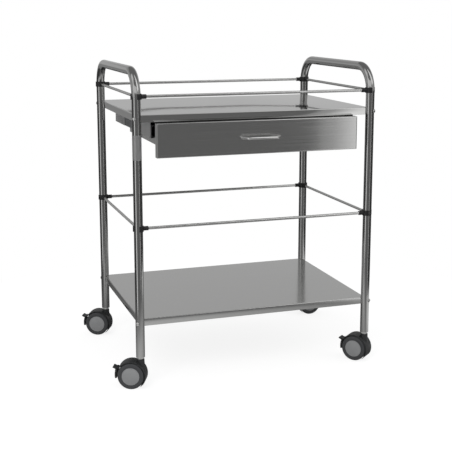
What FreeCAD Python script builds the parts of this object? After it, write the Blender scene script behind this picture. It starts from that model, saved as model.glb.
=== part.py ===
"""Two-shelf stainless steel medical trolley with one drawer and four braked twin-wheel casters.

Millimetres. +X is the trolley's right, -Y is its front, where the drawer opens, and +Z is up.
The origin lies on the floor, below the middle of the four posts.
"""
import FreeCAD
import Part
import math
import os
from FreeCAD import Placement, Rotation, Vector

os.makedirs("parts", exist_ok=True)

# Tube frame: each side is one tube bent into an upside-down U
tube_diameter = 25.0
tube_wall = 1.5
post_spacing_x = 690.0
post_spacing_y = 490.0
handle_bend_radius = 70.0

# Shelves: folded trays whose edges lie in the planes of the post axes
sheet_thickness = 1.2
upper_shelf_height = 766.0
lower_shelf_height = 198.0
shelf_flange_height = 20.0
shelf_lip_width = 12.0
shelf_fold_radius = 2.0
post_seat_gap = 0.1

# Screws that hold the shelf corners to the posts
shelf_screw_diameter = 6.0
shelf_screw_hole_gap = 0.2
shelf_screw_head_diameter = 11.0
shelf_screw_head_height = 3.6
shelf_nut_flats = 10.0
shelf_nut_thickness = 5.0
thread_gap = 0.05

# Guard rails and the snap clips that hold them; the handle bars rise above the upper rails
rail_diameter = 8.0
upper_rail_above_shelf = 50.0
lower_rail_above_shelf = 258.0
handle_bar_above_rail = 66.0
clip_wall = 2.4
clip_height = 15.5
clip_wrap_degrees = 262.0
socket_diameter = 12.0
socket_reach = 15.5
rail_fit = 0.05

# Drawer front: a shallow folded pan, open at the back
drawer_front_width = 590.0
drawer_front_height = 94.0
drawer_front_depth = 20.0
drawer_front_gap_to_shelf = 3.0
drawer_front_gap_below_flange = 2.0
drawer_front_fold_radius = 2.5

# Drawer box, behind the front
drawer_box_depth = 338.0
drawer_box_height = 60.0
drawer_box_gap_below_flange = 4.0
drawer_sheet = 1.0
drawer_rim_width = 6.0

# Hangers below the upper shelf, one for each side of the drawer
hanger_spacing = 604.0
hanger_front_setback = 21.0
hanger_length = 454.0
hanger_drop = 65.3
hanger_flange_width = 18.0
hanger_window_start = 164.0
hanger_window_length = 160.0
hanger_top_strip = 26.0

# Telescopic runners: three nested channels on each side
runner_length = 350.0
runner_height = 35.0
runner_thickness = 12.7
runner_sheet = 1.2
runner_play = 0.3
runner_end_step = 2.0
runner_drop = 48.5
middle_web_offset = 1.2
inner_member_length = 310.0

# Drawer pull: a bent rod on two feet
pull_rod_diameter = 8.0
pull_foot_spacing = 112.0
pull_bar_length = 84.0
pull_reach = 28.0
pull_foot_length = 7.0
pull_foot_bend = 5.0
pull_bar_bend = 9.0
pull_screw_diameter = 4.0
pull_screw_head_diameter = 8.0
pull_screw_head_height = 2.5
pull_screw_depth = 6.0

# Caster wheels
wheel_diameter = 75.0
wheel_width = 16.0
wheel_side_gap = 0.7
tyre_thickness = 6.5
tyre_shoulder = 4.0
tyre_inner_edge = 2.0
tyre_sidewall = 1.4
wheel_face_radius = 25.0
wheel_face_crown = 1.6
wheel_face_height = 0.5
wheel_rim_thickness = 3.5
wheel_disc_thickness = 3.8
wheel_hub_radius = 8.0
wheel_cap_thickness = 4.5
axle_diameter = 8.0
running_fit = 0.05

# Caster housing: a web between the wheels, a hood over them and a neck for the stem
caster_trail = 25.5
web_thickness = 10.0
web_drop = 18.0
web_rear_setback = 1.5
hood_gap = 1.8
hood_thickness = 3.0
hood_width = 42.0
hood_front_degrees = -25.0
hood_rear_degrees = 146.0
neck_diameter = 22.0
neck_rise = 46.2
neck_flare = 4.0
neck_flare_drop = 10.0

# Caster stem, and the plug that holds it in the end of the tube
stem_collar_diameter = 15.0
stem_collar_height = 4.5
stem_foot_diameter = 10.0
stem_foot_length = 13.0
stem_shank_diameter = 11.0
stem_shank_length = 38.0
bearing_gap = 0.3
plug_flange_height = 1.5
plug_flange_setback = 0.3
plug_length = 34.0
plug_fit = 0.05

# Foot brake at the back of each caster
brake_pivot_degrees = 165.0
brake_pivot_radius = 44.5
brake_pin_diameter = 3.0
brake_ear_radius = 4.5
brake_rest_gap = 4.4
brake_shoe_thickness = 5.4
brake_width = 22.0
brake_start_degrees = 151.0
brake_end_degrees = 192.0
pedal_degrees = 156.0
pedal_reach = 15.0
pedal_thickness = 4.2
brake_side_gap = 0.4

# Swivel angle of each caster as it stands, counted from trailing towards -X
caster_rest_degrees = {"front_left": -24.0, "front_right": -49.0, "back_left": -27.0, "back_right": 180.0}

# Places worked out from the sizes above
tube_radius = tube_diameter / 2
upper_rail_height = upper_shelf_height + upper_rail_above_shelf
lower_rail_height = lower_shelf_height + lower_rail_above_shelf
handle_bar_height = upper_rail_height + handle_bar_above_rail
half_x = post_spacing_x / 2
half_y = post_spacing_y / 2
wheel_radius = wheel_diameter / 2
neck_top = wheel_radius + neck_rise
plug_bottom = neck_top + bearing_gap + stem_collar_height
tube_end_height = plug_bottom + plug_flange_height
hood_inner_radius = wheel_radius + hood_gap
hood_outer_radius = hood_inner_radius + hood_thickness
wheel_inner_face = web_thickness / 2 + wheel_side_gap
wheel_outer_face = wheel_inner_face + wheel_width
rim_radius = wheel_radius - tyre_thickness
brake_inner_radius = wheel_radius + brake_rest_gap
brake_outer_radius = brake_inner_radius + brake_shoe_thickness

flange_bottom = upper_shelf_height - shelf_flange_height
shelf_underside = upper_shelf_height - sheet_thickness
drawer_front_back = -half_y - drawer_front_gap_to_shelf
drawer_front_face = drawer_front_back - drawer_front_depth
drawer_front_top = flange_bottom - drawer_front_gap_below_flange
drawer_front_bottom = drawer_front_top - drawer_front_height
drawer_box_top = flange_bottom - drawer_box_gap_below_flange
drawer_box_bottom = drawer_box_top - drawer_box_height
pull_height = (drawer_front_top + drawer_front_bottom) / 2
hanger_front = -half_y + hanger_front_setback
hanger_inner_face = hanger_spacing / 2 - sheet_thickness
drawer_box_half_width = hanger_inner_face - runner_thickness
runner_middle_height = upper_shelf_height - runner_drop
shelf_screw_rise = shelf_flange_height / 2

X = Vector(1, 0, 0)
Y = Vector(0, 1, 0)
Z = Vector(0, 0, 1)

# Corner names, with the sign of X and of Y
corners = {"front_left": (-1, -1), "front_right": (1, -1), "back_left": (-1, 1), "back_right": (1, 1)}


def post_axis(corner, height=0.0):
    """Point on the axis of a corner's post."""
    sign_x, sign_y = corners[corner]
    return Vector(sign_x * half_x, sign_y * half_y, height)


def inward(corner):
    """Unit vector from a corner's post towards the middle of the trolley."""
    sign_x, sign_y = corners[corner]
    return Vector(-sign_x, -sign_y, 0).normalize()


def rod(start, direction, length, diameter):
    """Round bar that starts at a point and runs along a direction."""
    return Part.makeCylinder(diameter / 2, length, start, direction)


def block(low, high):
    """Box between its lowest and highest corners."""
    size = high - low
    return Part.makeBox(size.x, size.y, size.z, low)


def prism(wire, travel):
    """Solid made by moving the face inside a closed wire."""
    return Part.Face(wire).extrude(travel)


def bent_path(points, radii):
    """Path through points, with an arc of the given radius at each inner point."""
    edges = []
    start = points[0]
    for before, point, after, radius in zip(points, points[1:], points[2:], radii):
        back = (before - point).normalize()
        ahead = (after - point).normalize()
        half_angle = back.getAngle(ahead) / 2
        setback = radius / math.tan(half_angle)
        middle = point + (back + ahead).normalize() * (radius / math.sin(half_angle) - radius)
        edges.append(Part.makeLine(start, point + back * setback))
        edges.append(Part.Arc(point + back * setback, middle, point + ahead * setback).toShape())
        start = point + ahead * setback
    edges.append(Part.makeLine(start, points[-1]))
    return Part.Wire(edges)


def bar_along(path, start, direction, diameter):
    """Solid round bar that follows a path."""
    section = Part.Wire(Part.makeCircle(diameter / 2, start, direction))
    return path.makePipeShell([section], True, True)


def save(node, *solids):
    """Writes one node; a group of separate solids stays one file."""
    shape = solids[0] if len(solids) == 1 else Part.makeCompound(list(solids))
    shape.exportStep("parts/" + node + ".step")


def side_bar(side, diameter):
    """Solid bar through the front post, the handle bar and the back post of one side."""
    x = side * half_x
    points = [Vector(x, -half_y, tube_end_height), Vector(x, -half_y, handle_bar_height),
              Vector(x, half_y, handle_bar_height), Vector(x, half_y, tube_end_height)]
    return bar_along(bent_path(points, [handle_bend_radius, handle_bend_radius]), points[0], Z, diameter)


def end_frame(side):
    """Hollow tube: front post, handle bar and back post in one bend, drilled for the shelf screws."""
    tube = side_bar(side, tube_diameter).cut(side_bar(side, tube_diameter - 2 * tube_wall))
    for corner, signs in corners.items():
        if signs[0] != side:
            continue
        for height in (upper_shelf_height, lower_shelf_height):
            start = post_axis(corner, height - shelf_screw_rise) - inward(corner) * tube_diameter
            hole = shelf_screw_diameter + 2 * shelf_screw_hole_gap
            tube = tube.cut(rod(start, inward(corner), 2 * tube_diameter, hole))
    return tube


def tray_outline(inset, height):
    """Rectangle between the post axes, moved in by an inset, with a hollow corner round each post."""
    radius = tube_radius + post_seat_gap + inset
    along = math.sqrt(radius ** 2 - inset ** 2)
    edges = []
    ends = []
    for sign_x, sign_y in ((-1, -1), (1, -1), (1, 1), (-1, 1)):
        axis = Vector(sign_x * half_x, sign_y * half_y, height)
        on_x_edge = axis - Vector(sign_x * along, sign_y * inset, 0)
        on_y_edge = axis - Vector(sign_x * inset, sign_y * along, 0)
        middle = axis - Vector(sign_x, sign_y, 0).normalize() * radius
        first, last = (on_y_edge, on_x_edge) if sign_x * sign_y > 0 else (on_x_edge, on_y_edge)
        if ends:
            edges.append(Part.makeLine(ends[-1], first))
        edges.append(Part.Arc(first, middle, last).toShape())
        ends += [first, last]
    edges.append(Part.makeLine(ends[-1], ends[0]))
    return Part.Wire(edges)


def straight_edges_at(shape, height, shortest):
    """Long straight edges of a shape that lie at one height."""
    found = []
    for edge in shape.Edges:
        level = all(abs(vertex.Z - height) < 1e-6 for vertex in edge.Vertexes)
        if level and isinstance(edge.Curve, Part.Line) and edge.Length > shortest:
            found.append(edge)
    return found


def shelf(top):
    """Folded tray, open below, with a return lip and a screw hole in each hollow corner."""
    bottom = top - shelf_flange_height
    tray = prism(tray_outline(0.0, bottom), Z * shelf_flange_height)
    shortest = min(post_spacing_x, post_spacing_y) / 2
    tray = tray.makeFillet(shelf_fold_radius, straight_edges_at(tray, top, shortest))
    cavity_height = shelf_flange_height - 2 * sheet_thickness
    cavity = prism(tray_outline(sheet_thickness, bottom + sheet_thickness), Z * cavity_height)
    mouth = prism(tray_outline(shelf_lip_width, bottom), Z * sheet_thickness)
    tray = tray.cut(cavity).cut(mouth)
    for corner in corners:
        hole = shelf_screw_diameter + 2 * shelf_screw_hole_gap
        start = post_axis(corner, top - shelf_screw_rise)
        tray = tray.cut(rod(start, inward(corner), 2 * tube_diameter, hole))
    return tray


def shelf_screw(corner, top):
    """Domed screw through the post and the shelf corner."""
    inwards = inward(corner)
    seat = post_axis(corner, top - shelf_screw_rise) - inwards * (tube_radius + thread_gap)
    nut_end = tube_radius + post_seat_gap + sheet_thickness + shelf_nut_thickness
    shank = rod(seat, inwards, tube_radius + nut_end + 2 * thread_gap, shelf_screw_diameter)
    head_radius = shelf_screw_head_diameter / 2
    dome_radius = (head_radius ** 2 + shelf_screw_head_height ** 2) / (2 * shelf_screw_head_height)
    dome_centre = seat + inwards * (dome_radius - shelf_screw_head_height)
    rim_latitude = math.degrees(math.acos(head_radius / dome_radius))
    head = Part.makeSphere(dome_radius, dome_centre, inwards * -1, rim_latitude, 90)
    return shank.fuse(head).removeSplitter()


def shelf_nut(corner, top):
    """Hexagon nut against the inside of the shelf corner."""
    inwards = inward(corner)
    seat_distance = tube_radius + post_seat_gap + sheet_thickness + thread_gap
    seat = post_axis(corner, top - shelf_screw_rise) + inwards * seat_distance
    circumradius = shelf_nut_flats / math.sqrt(3)
    level = inwards.cross(Z)
    points = []
    for step in range(7):
        angle = math.radians(60 * step)
        points.append(seat + level * (circumradius * math.cos(angle)) + Z * (circumradius * math.sin(angle)))
    nut = prism(Part.makePolygon(points), inwards * shelf_nut_thickness)
    return nut.cut(rod(seat, inwards, shelf_nut_thickness, shelf_screw_diameter + 2 * thread_gap))


def rail_seat():
    """Distance from a post's axis to the closed end of a clip's socket."""
    return tube_radius + clip_wall


def guard_rail(height, along_x, side):
    """Round rail between the sockets of two clips."""
    start_inset = rail_seat() + rail_fit
    if along_x:
        start = Vector(-half_x + start_inset, side * half_y, height)
        return rod(start, X, post_spacing_x - 2 * start_inset, rail_diameter)
    start = Vector(side * half_x, -half_y + start_inset, height)
    return rod(start, Y, post_spacing_y - 2 * start_inset, rail_diameter)


def rail_clip(corner, height):
    """Snap ring round the inner side of a post, with a socket for each of its two rails."""
    base = post_axis(corner, height - clip_height / 2)
    ring_radius = tube_radius + post_seat_gap + clip_wall
    inner = inward(corner)
    middle_degrees = math.degrees(math.atan2(inner.y, inner.x))
    ring = Part.makeCylinder(ring_radius, clip_height, base, Z, clip_wrap_degrees)
    ring.rotate(base, Z, middle_degrees - clip_wrap_degrees / 2)
    sign_x, sign_y = corners[corner]
    axis_point = post_axis(corner, height)
    directions = (X * -sign_x, Y * -sign_y)
    for direction in directions:
        ring = ring.fuse(rod(axis_point, direction, tube_radius + socket_reach, socket_diameter))
    ring = ring.cut(side_bar(sign_x, tube_diameter + 2 * post_seat_gap))
    for direction in directions:
        start = axis_point + direction * rail_seat()
        ring = ring.cut(rod(start, direction, socket_reach, rail_diameter + 2 * rail_fit))
    return ring.removeSplitter()


def drawer_front():
    """Folded pan with softened front corners, drilled for the pull."""
    half = drawer_front_width / 2
    low = Vector(-half, drawer_front_face, drawer_front_bottom)
    high = Vector(half, drawer_front_back, drawer_front_top)
    pan = block(low, high)
    front_edges = []
    for edge in pan.Edges:
        if all(abs(vertex.Y - drawer_front_face) < 1e-6 for vertex in edge.Vertexes):
            front_edges.append(edge)
    pan = pan.makeFillet(drawer_front_fold_radius, front_edges)
    wall = Vector(sheet_thickness, sheet_thickness, sheet_thickness)
    inside = block(low + wall, high - Vector(sheet_thickness, 0, sheet_thickness))
    pan = pan.cut(inside)
    for side in (-1, 1):
        start = Vector(side * pull_foot_spacing / 2, drawer_front_face, pull_height)
        hole = pull_screw_diameter + 2 * thread_gap
        pan = pan.cut(rod(start, Y, sheet_thickness, hole))
    return pan


def drawer_box():
    """Open box of thin sheet, with a narrow rim folded inwards round its top."""
    half = drawer_box_half_width
    back = drawer_front_back + drawer_box_depth
    low = Vector(-half, drawer_front_back, drawer_box_bottom)
    high = Vector(half, back, drawer_box_top)
    wall = Vector(drawer_sheet, drawer_sheet, drawer_sheet)
    rim = Vector(drawer_rim_width, drawer_rim_width, 0)
    inside = block(low + wall, high - wall)
    mouth = block(Vector(low.x, low.y, high.z - drawer_sheet) + rim, high - rim)
    return block(low, high).cut(inside).cut(mouth)


def drawer_pull():
    """Bent rod: two short feet, two legs that lean inwards and a straight bar."""
    foot = pull_foot_spacing / 2
    bar = pull_bar_length / 2
    depths = (0.0, pull_foot_length, pull_reach)
    face, bend, front = [drawer_front_face - depth for depth in depths]
    places = ((-foot, face), (-foot, bend), (-bar, front), (bar, front), (foot, bend), (foot, face))
    points = [Vector(x, y, pull_height) for x, y in places]
    path = bent_path(points, [pull_foot_bend, pull_bar_bend, pull_bar_bend, pull_foot_bend])
    pull = bar_along(path, points[0], Y * -1, pull_rod_diameter)
    for end in (points[0], points[-1]):
        pull = pull.cut(rod(end, Y * -1, pull_screw_depth, pull_screw_diameter + 2 * thread_gap))
    return pull


def pull_screw(side):
    """Screw from inside the drawer front into a foot of the pull."""
    seat = Vector(side * pull_foot_spacing / 2, drawer_front_face + sheet_thickness, pull_height)
    shank_length = sheet_thickness + pull_screw_depth - thread_gap
    shank = rod(seat, Y * -1, shank_length, pull_screw_diameter)
    head = rod(seat, Y, pull_screw_head_height, pull_screw_head_diameter)
    return shank.fuse(head).removeSplitter()


def drawer_hanger(side):
    """Angle below the shelf: a flange on the shelf's underside and a side with a window open below."""
    outer = hanger_spacing / 2
    back = hanger_front + hanger_length
    bottom = shelf_underside - hanger_drop
    plate = block(Vector(hanger_inner_face, hanger_front, bottom), Vector(outer, back, shelf_underside))
    flange_low = Vector(outer - hanger_flange_width, hanger_front, shelf_underside - sheet_thickness)
    plate = plate.fuse(block(flange_low, Vector(outer, back, shelf_underside)))
    window_front = hanger_front + hanger_window_start
    window_low = Vector(hanger_inner_face, window_front, bottom)
    window_top = shelf_underside - hanger_top_strip
    window = block(window_low, Vector(outer, window_front + hanger_window_length, window_top))
    plate = plate.cut(window).removeSplitter()
    return plate if side > 0 else plate.mirror(Vector(), X)


def runner_channel(side, web, opens_inwards, reach, half_height, front, length):
    """Channel section run along Y; web and reach are depths in from the hanger's inner face."""
    profile = [(web, -half_height), (reach, -half_height), (reach, -half_height + runner_sheet)]
    turn = runner_sheet if opens_inwards else -runner_sheet
    profile += [(web + turn, -half_height + runner_sheet), (web + turn, half_height - runner_sheet)]
    profile += [(reach, half_height - runner_sheet), (reach, half_height), (web, half_height)]
    points = []
    for depth, rise in profile + profile[:1]:
        points.append(Vector(side * (hanger_inner_face - depth), front, runner_middle_height + rise))
    return prism(Part.makePolygon(points), Y * length)


def runner_members(side):
    """Fixed, middle and drawer channels of one telescopic runner, nested with a little play."""
    step = runner_sheet + runner_play
    outer_half = runner_height / 2
    outer_reach = runner_thickness - 2 * step
    fixed = runner_channel(side, 0.0, True, outer_reach, outer_half, hanger_front, runner_length)
    middle_front = hanger_front + runner_end_step
    middle_web = runner_sheet + middle_web_offset
    middle_reach = runner_thickness - step
    middle_length = runner_length - 2 * runner_end_step
    middle = runner_channel(side, middle_web, True, middle_reach, outer_half - step, middle_front,
                            middle_length)
    inner_reach = middle_web + step
    inner = runner_channel(side, runner_thickness, False, inner_reach, outer_half - 2 * step,
                           middle_front, inner_member_length)
    return fixed, middle, inner


def wheel_centre():
    """Middle of a caster, in the caster's own frame, whose Z axis is the stem."""
    return Vector(-caster_trail, 0, wheel_radius)


def around_axle(radius, degrees, y=0.0):
    """Point at a radius and an angle round the axle; 0 degrees looks towards the stem's side."""
    angle = math.radians(degrees)
    return wheel_centre() + Vector(radius * math.cos(angle), y, radius * math.sin(angle))


def ring_sector(inner, outer, start_degrees, end_degrees, width):
    """Part of a ring about the axle, centred on the middle of the caster."""
    y = -width / 2
    middle_degrees = (start_degrees + end_degrees) / 2
    outer_points = [around_axle(outer, angle, y) for angle in (start_degrees, middle_degrees, end_degrees)]
    inner_points = [around_axle(inner, angle, y) for angle in (end_degrees, middle_degrees, start_degrees)]
    edges = [Part.Arc(*outer_points).toShape(), Part.makeLine(outer_points[-1], inner_points[0]),
             Part.Arc(*inner_points).toShape(), Part.makeLine(inner_points[-1], outer_points[0])]
    return prism(Part.Wire(edges), Y * width)


def crosswise(point, width, diameter):
    """Round bar through a point, along the axle, centred on the middle of the caster."""
    return rod(Vector(point.x, -width / 2, point.z), Y, width, diameter)


def caster_housing():
    """Web, hood and neck in one moulding, with the stem's bore, the axle's bore and the brake's ear."""
    centre = wheel_centre()
    web = crosswise(centre, web_thickness, 2 * hood_outer_radius)
    floor_side = block(Vector(centre.x - 2 * wheel_radius, -web_thickness, centre.z - 2 * wheel_radius),
                       Vector(centre.x + 2 * wheel_radius, web_thickness, centre.z - web_drop))
    web = web.cut(floor_side)
    pivot = around_axle(brake_pivot_radius, brake_pivot_degrees)
    behind_hood = ring_sector(wheel_radius - web_rear_setback, 2 * wheel_radius, hood_rear_degrees,
                              360 + hood_front_degrees, web_thickness)
    web = web.cut(behind_hood)
    ear = crosswise(pivot, web_thickness, 2 * brake_ear_radius)
    arm_width = brake_ear_radius
    arm = block(Vector(0, -web_thickness / 2, -arm_width), Vector(brake_pivot_radius, web_thickness / 2, arm_width))
    arm.rotate(Vector(), Y, -brake_pivot_degrees)
    arm.translate(centre)
    hood = ring_sector(hood_inner_radius, hood_outer_radius, hood_front_degrees, hood_rear_degrees, hood_width)
    neck = rod(Vector(0, 0, wheel_radius), Z, neck_rise, neck_diameter)
    flare_bottom = neck_top - neck_flare_drop
    neck_radius = neck_diameter / 2
    flare = Part.makeCone(neck_radius + neck_flare, neck_radius, neck_flare_drop / 2,
                          Vector(0, 0, flare_bottom), Z)
    skirt = rod(Vector(0, 0, wheel_radius), Z, flare_bottom - wheel_radius, neck_diameter + 2 * neck_flare)
    stem_boss = neck.fuse(flare).fuse(skirt)
    for side in (-1, 1):
        wheel_space = rod(Vector(centre.x, side * web_thickness / 2, centre.z), Y * side, hood_width,
                          2 * hood_inner_radius)
        stem_boss = stem_boss.cut(wheel_space)
    housing = web.fuse([ear, arm, hood, stem_boss]).removeSplitter()
    housing = housing.cut(crosswise(centre, web_thickness, axle_diameter))
    housing = housing.cut(crosswise(pivot, web_thickness, brake_pin_diameter))
    bore_depth = stem_foot_length - bearing_gap + 2 * running_fit
    bore_bottom = Vector(0, 0, neck_top - bore_depth)
    return housing.cut(rod(bore_bottom, Z, bore_depth, stem_foot_diameter + 2 * running_fit))


def caster_pins():
    """Axle, and the pin of the foot brake."""
    axle_length = 2 * (wheel_outer_face - wheel_cap_thickness) - 2 * running_fit
    pivot = around_axle(brake_pivot_radius, brake_pivot_degrees)
    return (crosswise(wheel_centre(), axle_length, axle_diameter),
            crosswise(pivot, brake_width - 2 * running_fit, brake_pin_diameter))


def turned_about_axle(edges):
    """Solid of revolution about the axle, from profile edges in radius and Y."""
    solid = Part.Face(Part.Wire(edges)).revolve(Vector(), Y, 360)
    solid.translate(wheel_centre())
    return solid


def profile_lines(points):
    """Edges through points given as radius and Y."""
    places = [Vector(radius, y, 0) for radius, y in points]
    return [Part.makeLine(first, second) for first, second in zip(places, places[1:])]


def wheel_core():
    """Hub, disc and rim in one moulding, with a crowned outer face and a blind axle bore."""
    bore = axle_diameter / 2 + running_fit
    face = wheel_outer_face - tyre_sidewall
    edge = wheel_outer_face + wheel_face_height
    disc_back = wheel_outer_face - tyre_sidewall - wheel_disc_thickness
    rim_inner = rim_radius - wheel_rim_thickness
    cap_back = wheel_outer_face - wheel_cap_thickness
    rim_back = wheel_inner_face + wheel_side_gap
    points = [(0, cap_back), (bore, cap_back), (bore, wheel_inner_face), (wheel_hub_radius, wheel_inner_face),
              (wheel_hub_radius, disc_back), (rim_inner, disc_back), (rim_inner, rim_back),
              (rim_radius, rim_back), (rim_radius, face), (wheel_face_radius, face), (wheel_face_radius, edge)]
    crown_top = edge + wheel_face_crown
    sphere_radius = (wheel_face_radius ** 2 + wheel_face_crown ** 2) / (2 * wheel_face_crown)
    half_angle = math.asin(wheel_face_radius / sphere_radius) / 2
    crown_middle = Vector(sphere_radius * math.sin(half_angle),
                          crown_top - sphere_radius * (1 - math.cos(half_angle)), 0)
    crown = Part.Arc(Vector(wheel_face_radius, edge, 0), crown_middle, Vector(0, crown_top, 0)).toShape()
    axis = Part.makeLine(Vector(0, crown_top, 0), Vector(0, cap_back, 0))
    return turned_about_axle(profile_lines(points) + [crown, axis])


def tyre():
    """Tyre on the rim, with a rounded outer shoulder and a sidewall that laps the rim's face."""
    face = wheel_outer_face - tyre_sidewall
    lap_edge = wheel_face_radius + post_seat_gap
    shoulder_y = wheel_outer_face - tyre_shoulder
    shoulder_radius = wheel_radius - tyre_shoulder
    corner_share = 1 - math.cos(math.radians(45))
    shoulder_middle = Vector(wheel_radius - tyre_shoulder * corner_share,
                             wheel_outer_face - tyre_shoulder * corner_share, 0)
    shoulder = Part.Arc(Vector(wheel_radius, shoulder_y, 0), shoulder_middle,
                        Vector(shoulder_radius, wheel_outer_face, 0)).toShape()
    start = [(rim_radius, face), (rim_radius, wheel_inner_face),
             (wheel_radius - tyre_inner_edge, wheel_inner_face),
             (wheel_radius, wheel_inner_face + tyre_inner_edge), (wheel_radius, shoulder_y)]
    finish = [(shoulder_radius, wheel_outer_face), (lap_edge, wheel_outer_face), (lap_edge, face),
              (rim_radius, face)]
    return turned_about_axle(profile_lines(start) + [shoulder] + profile_lines(finish))


def foot_brake():
    """Curved shoe behind the wheels with a pedal, forked round the housing's ear."""
    shoe = ring_sector(brake_inner_radius, brake_outer_radius, brake_start_degrees, brake_end_degrees,
                       brake_width)
    pivot = around_axle(brake_pivot_radius, brake_pivot_degrees)
    half_width = brake_width / 2
    pedal = block(Vector(brake_inner_radius, -half_width, -pedal_thickness / 2),
                  Vector(hood_outer_radius + pedal_reach, half_width, pedal_thickness / 2))
    pedal.rotate(Vector(), Y, -pedal_degrees)
    pedal.translate(wheel_centre())
    knuckle = crosswise(pivot, brake_width, 2 * brake_ear_radius)
    fork_width = web_thickness + 2 * brake_side_gap
    fork = crosswise(pivot, fork_width, 2 * (brake_ear_radius + brake_side_gap))
    arm_width = brake_ear_radius + 2 * brake_side_gap
    slot = block(Vector(0, -fork_width / 2, -arm_width), Vector(brake_pivot_radius, fork_width / 2, arm_width))
    slot.rotate(Vector(), Y, -brake_pivot_degrees)
    slot.translate(wheel_centre())
    wheels = crosswise(wheel_centre(), brake_width, 2 * brake_inner_radius)
    lever = shoe.fuse([pedal, knuckle.cut(wheels)]).removeSplitter().cut(fork).cut(slot)
    return lever.cut(crosswise(pivot, brake_width, brake_pin_diameter + 2 * running_fit))


def caster_stem(corner):
    """Foot in the neck's bore, a collar that shows, and a shank in the plug."""
    base = post_axis(corner)
    foot_bottom = Vector(base.x, base.y, plug_bottom - stem_collar_height - stem_foot_length)
    collar_bottom = Vector(base.x, base.y, plug_bottom - stem_collar_height)
    plug_face = Vector(base.x, base.y, plug_bottom)
    foot = rod(foot_bottom, Z, stem_foot_length, stem_foot_diameter)
    collar = rod(collar_bottom, Z, stem_collar_height, stem_collar_diameter)
    shank = rod(plug_face, Z, stem_shank_length, stem_shank_diameter)
    return foot.fuse([collar, shank]).removeSplitter()


def post_plug(corner):
    """Plug in the end of the tube, with a flange below the tube and a bore for the stem."""
    base = post_axis(corner, plug_bottom)
    inner_diameter = tube_diameter - 2 * tube_wall
    flange = rod(base, Z, plug_flange_height, tube_diameter - 2 * plug_flange_setback)
    body = rod(base, Z, plug_length, inner_diameter - 2 * plug_fit)
    bore = rod(base, Z, plug_length, stem_shank_diameter + 2 * plug_fit)
    return flange.fuse(body).removeSplitter().cut(bore)


def at_corner(shape, corner):
    """Copy of a caster piece, turned to its rest angle and set below its post."""
    placed = shape.copy()
    turn = Placement(post_axis(corner), Rotation(Z, caster_rest_degrees[corner]))
    placed.Placement = turn.multiply(placed.Placement)
    return placed


def build_frame():
    """Frame, shelves and their fasteners."""
    save("end_frame_left", end_frame(-1))
    save("end_frame_right", end_frame(1))
    save("upper_shelf", shelf(upper_shelf_height))
    save("lower_shelf", shelf(lower_shelf_height))
    places = [(corner, top) for top in (upper_shelf_height, lower_shelf_height) for corner in corners]
    save("shelf_screws", *[shelf_screw(corner, top) for corner, top in places])
    save("shelf_nuts", *[shelf_nut(corner, top) for corner, top in places])


def build_rails():
    """Guard rails above each shelf, and their clips."""
    for level, height in (("upper", upper_rail_height), ("lower", lower_rail_height)):
        save(level + "_rail_front", guard_rail(height, True, -1))
        save(level + "_rail_back", guard_rail(height, True, 1))
        save(level + "_rail_left", guard_rail(height, False, -1))
        save(level + "_rail_right", guard_rail(height, False, 1))
        save(level + "_rail_clips", *[rail_clip(corner, height) for corner in corners])


def build_drawer():
    """Drawer, its pull, and the hangers and runners that carry it."""
    save("drawer_front", drawer_front())
    save("drawer_box", drawer_box())
    save("drawer_pull", drawer_pull())
    save("drawer_pull_screws", pull_screw(-1), pull_screw(1))
    for name, side in (("left", -1), ("right", 1)):
        save("drawer_hanger_" + name, drawer_hanger(side))
        fixed, middle, inner = runner_members(side)
        save("runner_fixed_" + name, fixed)
        save("runner_middle_" + name, middle)
        save("runner_drawer_" + name, inner)


def build_casters():
    """Stems and plugs as groups, and the pieces of each caster."""
    save("post_plugs", *[post_plug(corner) for corner in corners])
    save("caster_stems", *[caster_stem(corner) for corner in corners])
    housing = caster_housing()
    pins = caster_pins()
    core = wheel_core()
    rubber = tyre()
    brake = foot_brake()
    for corner in corners:
        save("caster_housing_" + corner, at_corner(housing, corner))
        save("caster_pins_" + corner, *[at_corner(pin, corner) for pin in pins])
        save("caster_brake_" + corner, at_corner(brake, corner))
        for side, mirrored in (("left", False), ("right", True)):
            for name, piece in (("wheel", core), ("tyre", rubber)):
                solid = piece.mirror(Vector(), Y) if mirrored else piece
                save("caster_" + name + "_" + corner + "_" + side, at_corner(solid, corner))


build_frame()
build_rails()
build_drawer()
build_casters()
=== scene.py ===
"""Looks of a two-shelf stainless steel medical trolley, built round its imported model.

Sizes are in millimetres and become metres where a mesh is made. +X is the trolley's right, -Y is its
front, where the drawer opens, and +Z is up. The origin lies on the floor below the middle of the posts.
"""

import logging
import math
from dataclasses import dataclass
from enum import Enum
from typing import Any, Sequence

import bmesh
import bpy
from bpy.types import ID, Material, Mesh, Node, NodeSocket, NodeTree, Object
from mathutils import Euler, Matrix, Vector

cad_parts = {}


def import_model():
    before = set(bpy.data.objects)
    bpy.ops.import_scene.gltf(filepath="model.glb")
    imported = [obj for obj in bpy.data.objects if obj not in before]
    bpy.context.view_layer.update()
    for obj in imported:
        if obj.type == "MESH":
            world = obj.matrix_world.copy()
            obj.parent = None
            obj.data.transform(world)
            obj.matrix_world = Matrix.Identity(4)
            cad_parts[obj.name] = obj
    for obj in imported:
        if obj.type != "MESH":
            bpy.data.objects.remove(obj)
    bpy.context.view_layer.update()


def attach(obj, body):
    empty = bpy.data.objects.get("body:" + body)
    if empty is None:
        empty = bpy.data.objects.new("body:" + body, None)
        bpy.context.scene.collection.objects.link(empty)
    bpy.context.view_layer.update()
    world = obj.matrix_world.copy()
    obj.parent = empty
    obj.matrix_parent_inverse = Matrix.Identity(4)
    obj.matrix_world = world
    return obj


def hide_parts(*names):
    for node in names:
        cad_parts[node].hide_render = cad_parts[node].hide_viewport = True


MM = 0.001
WHITE = "#FFFFFF"
PLASTIC_IOR = 1.5
SHARP_DEGREES = 35.0
WELD_DISTANCE = 1e-7
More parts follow.
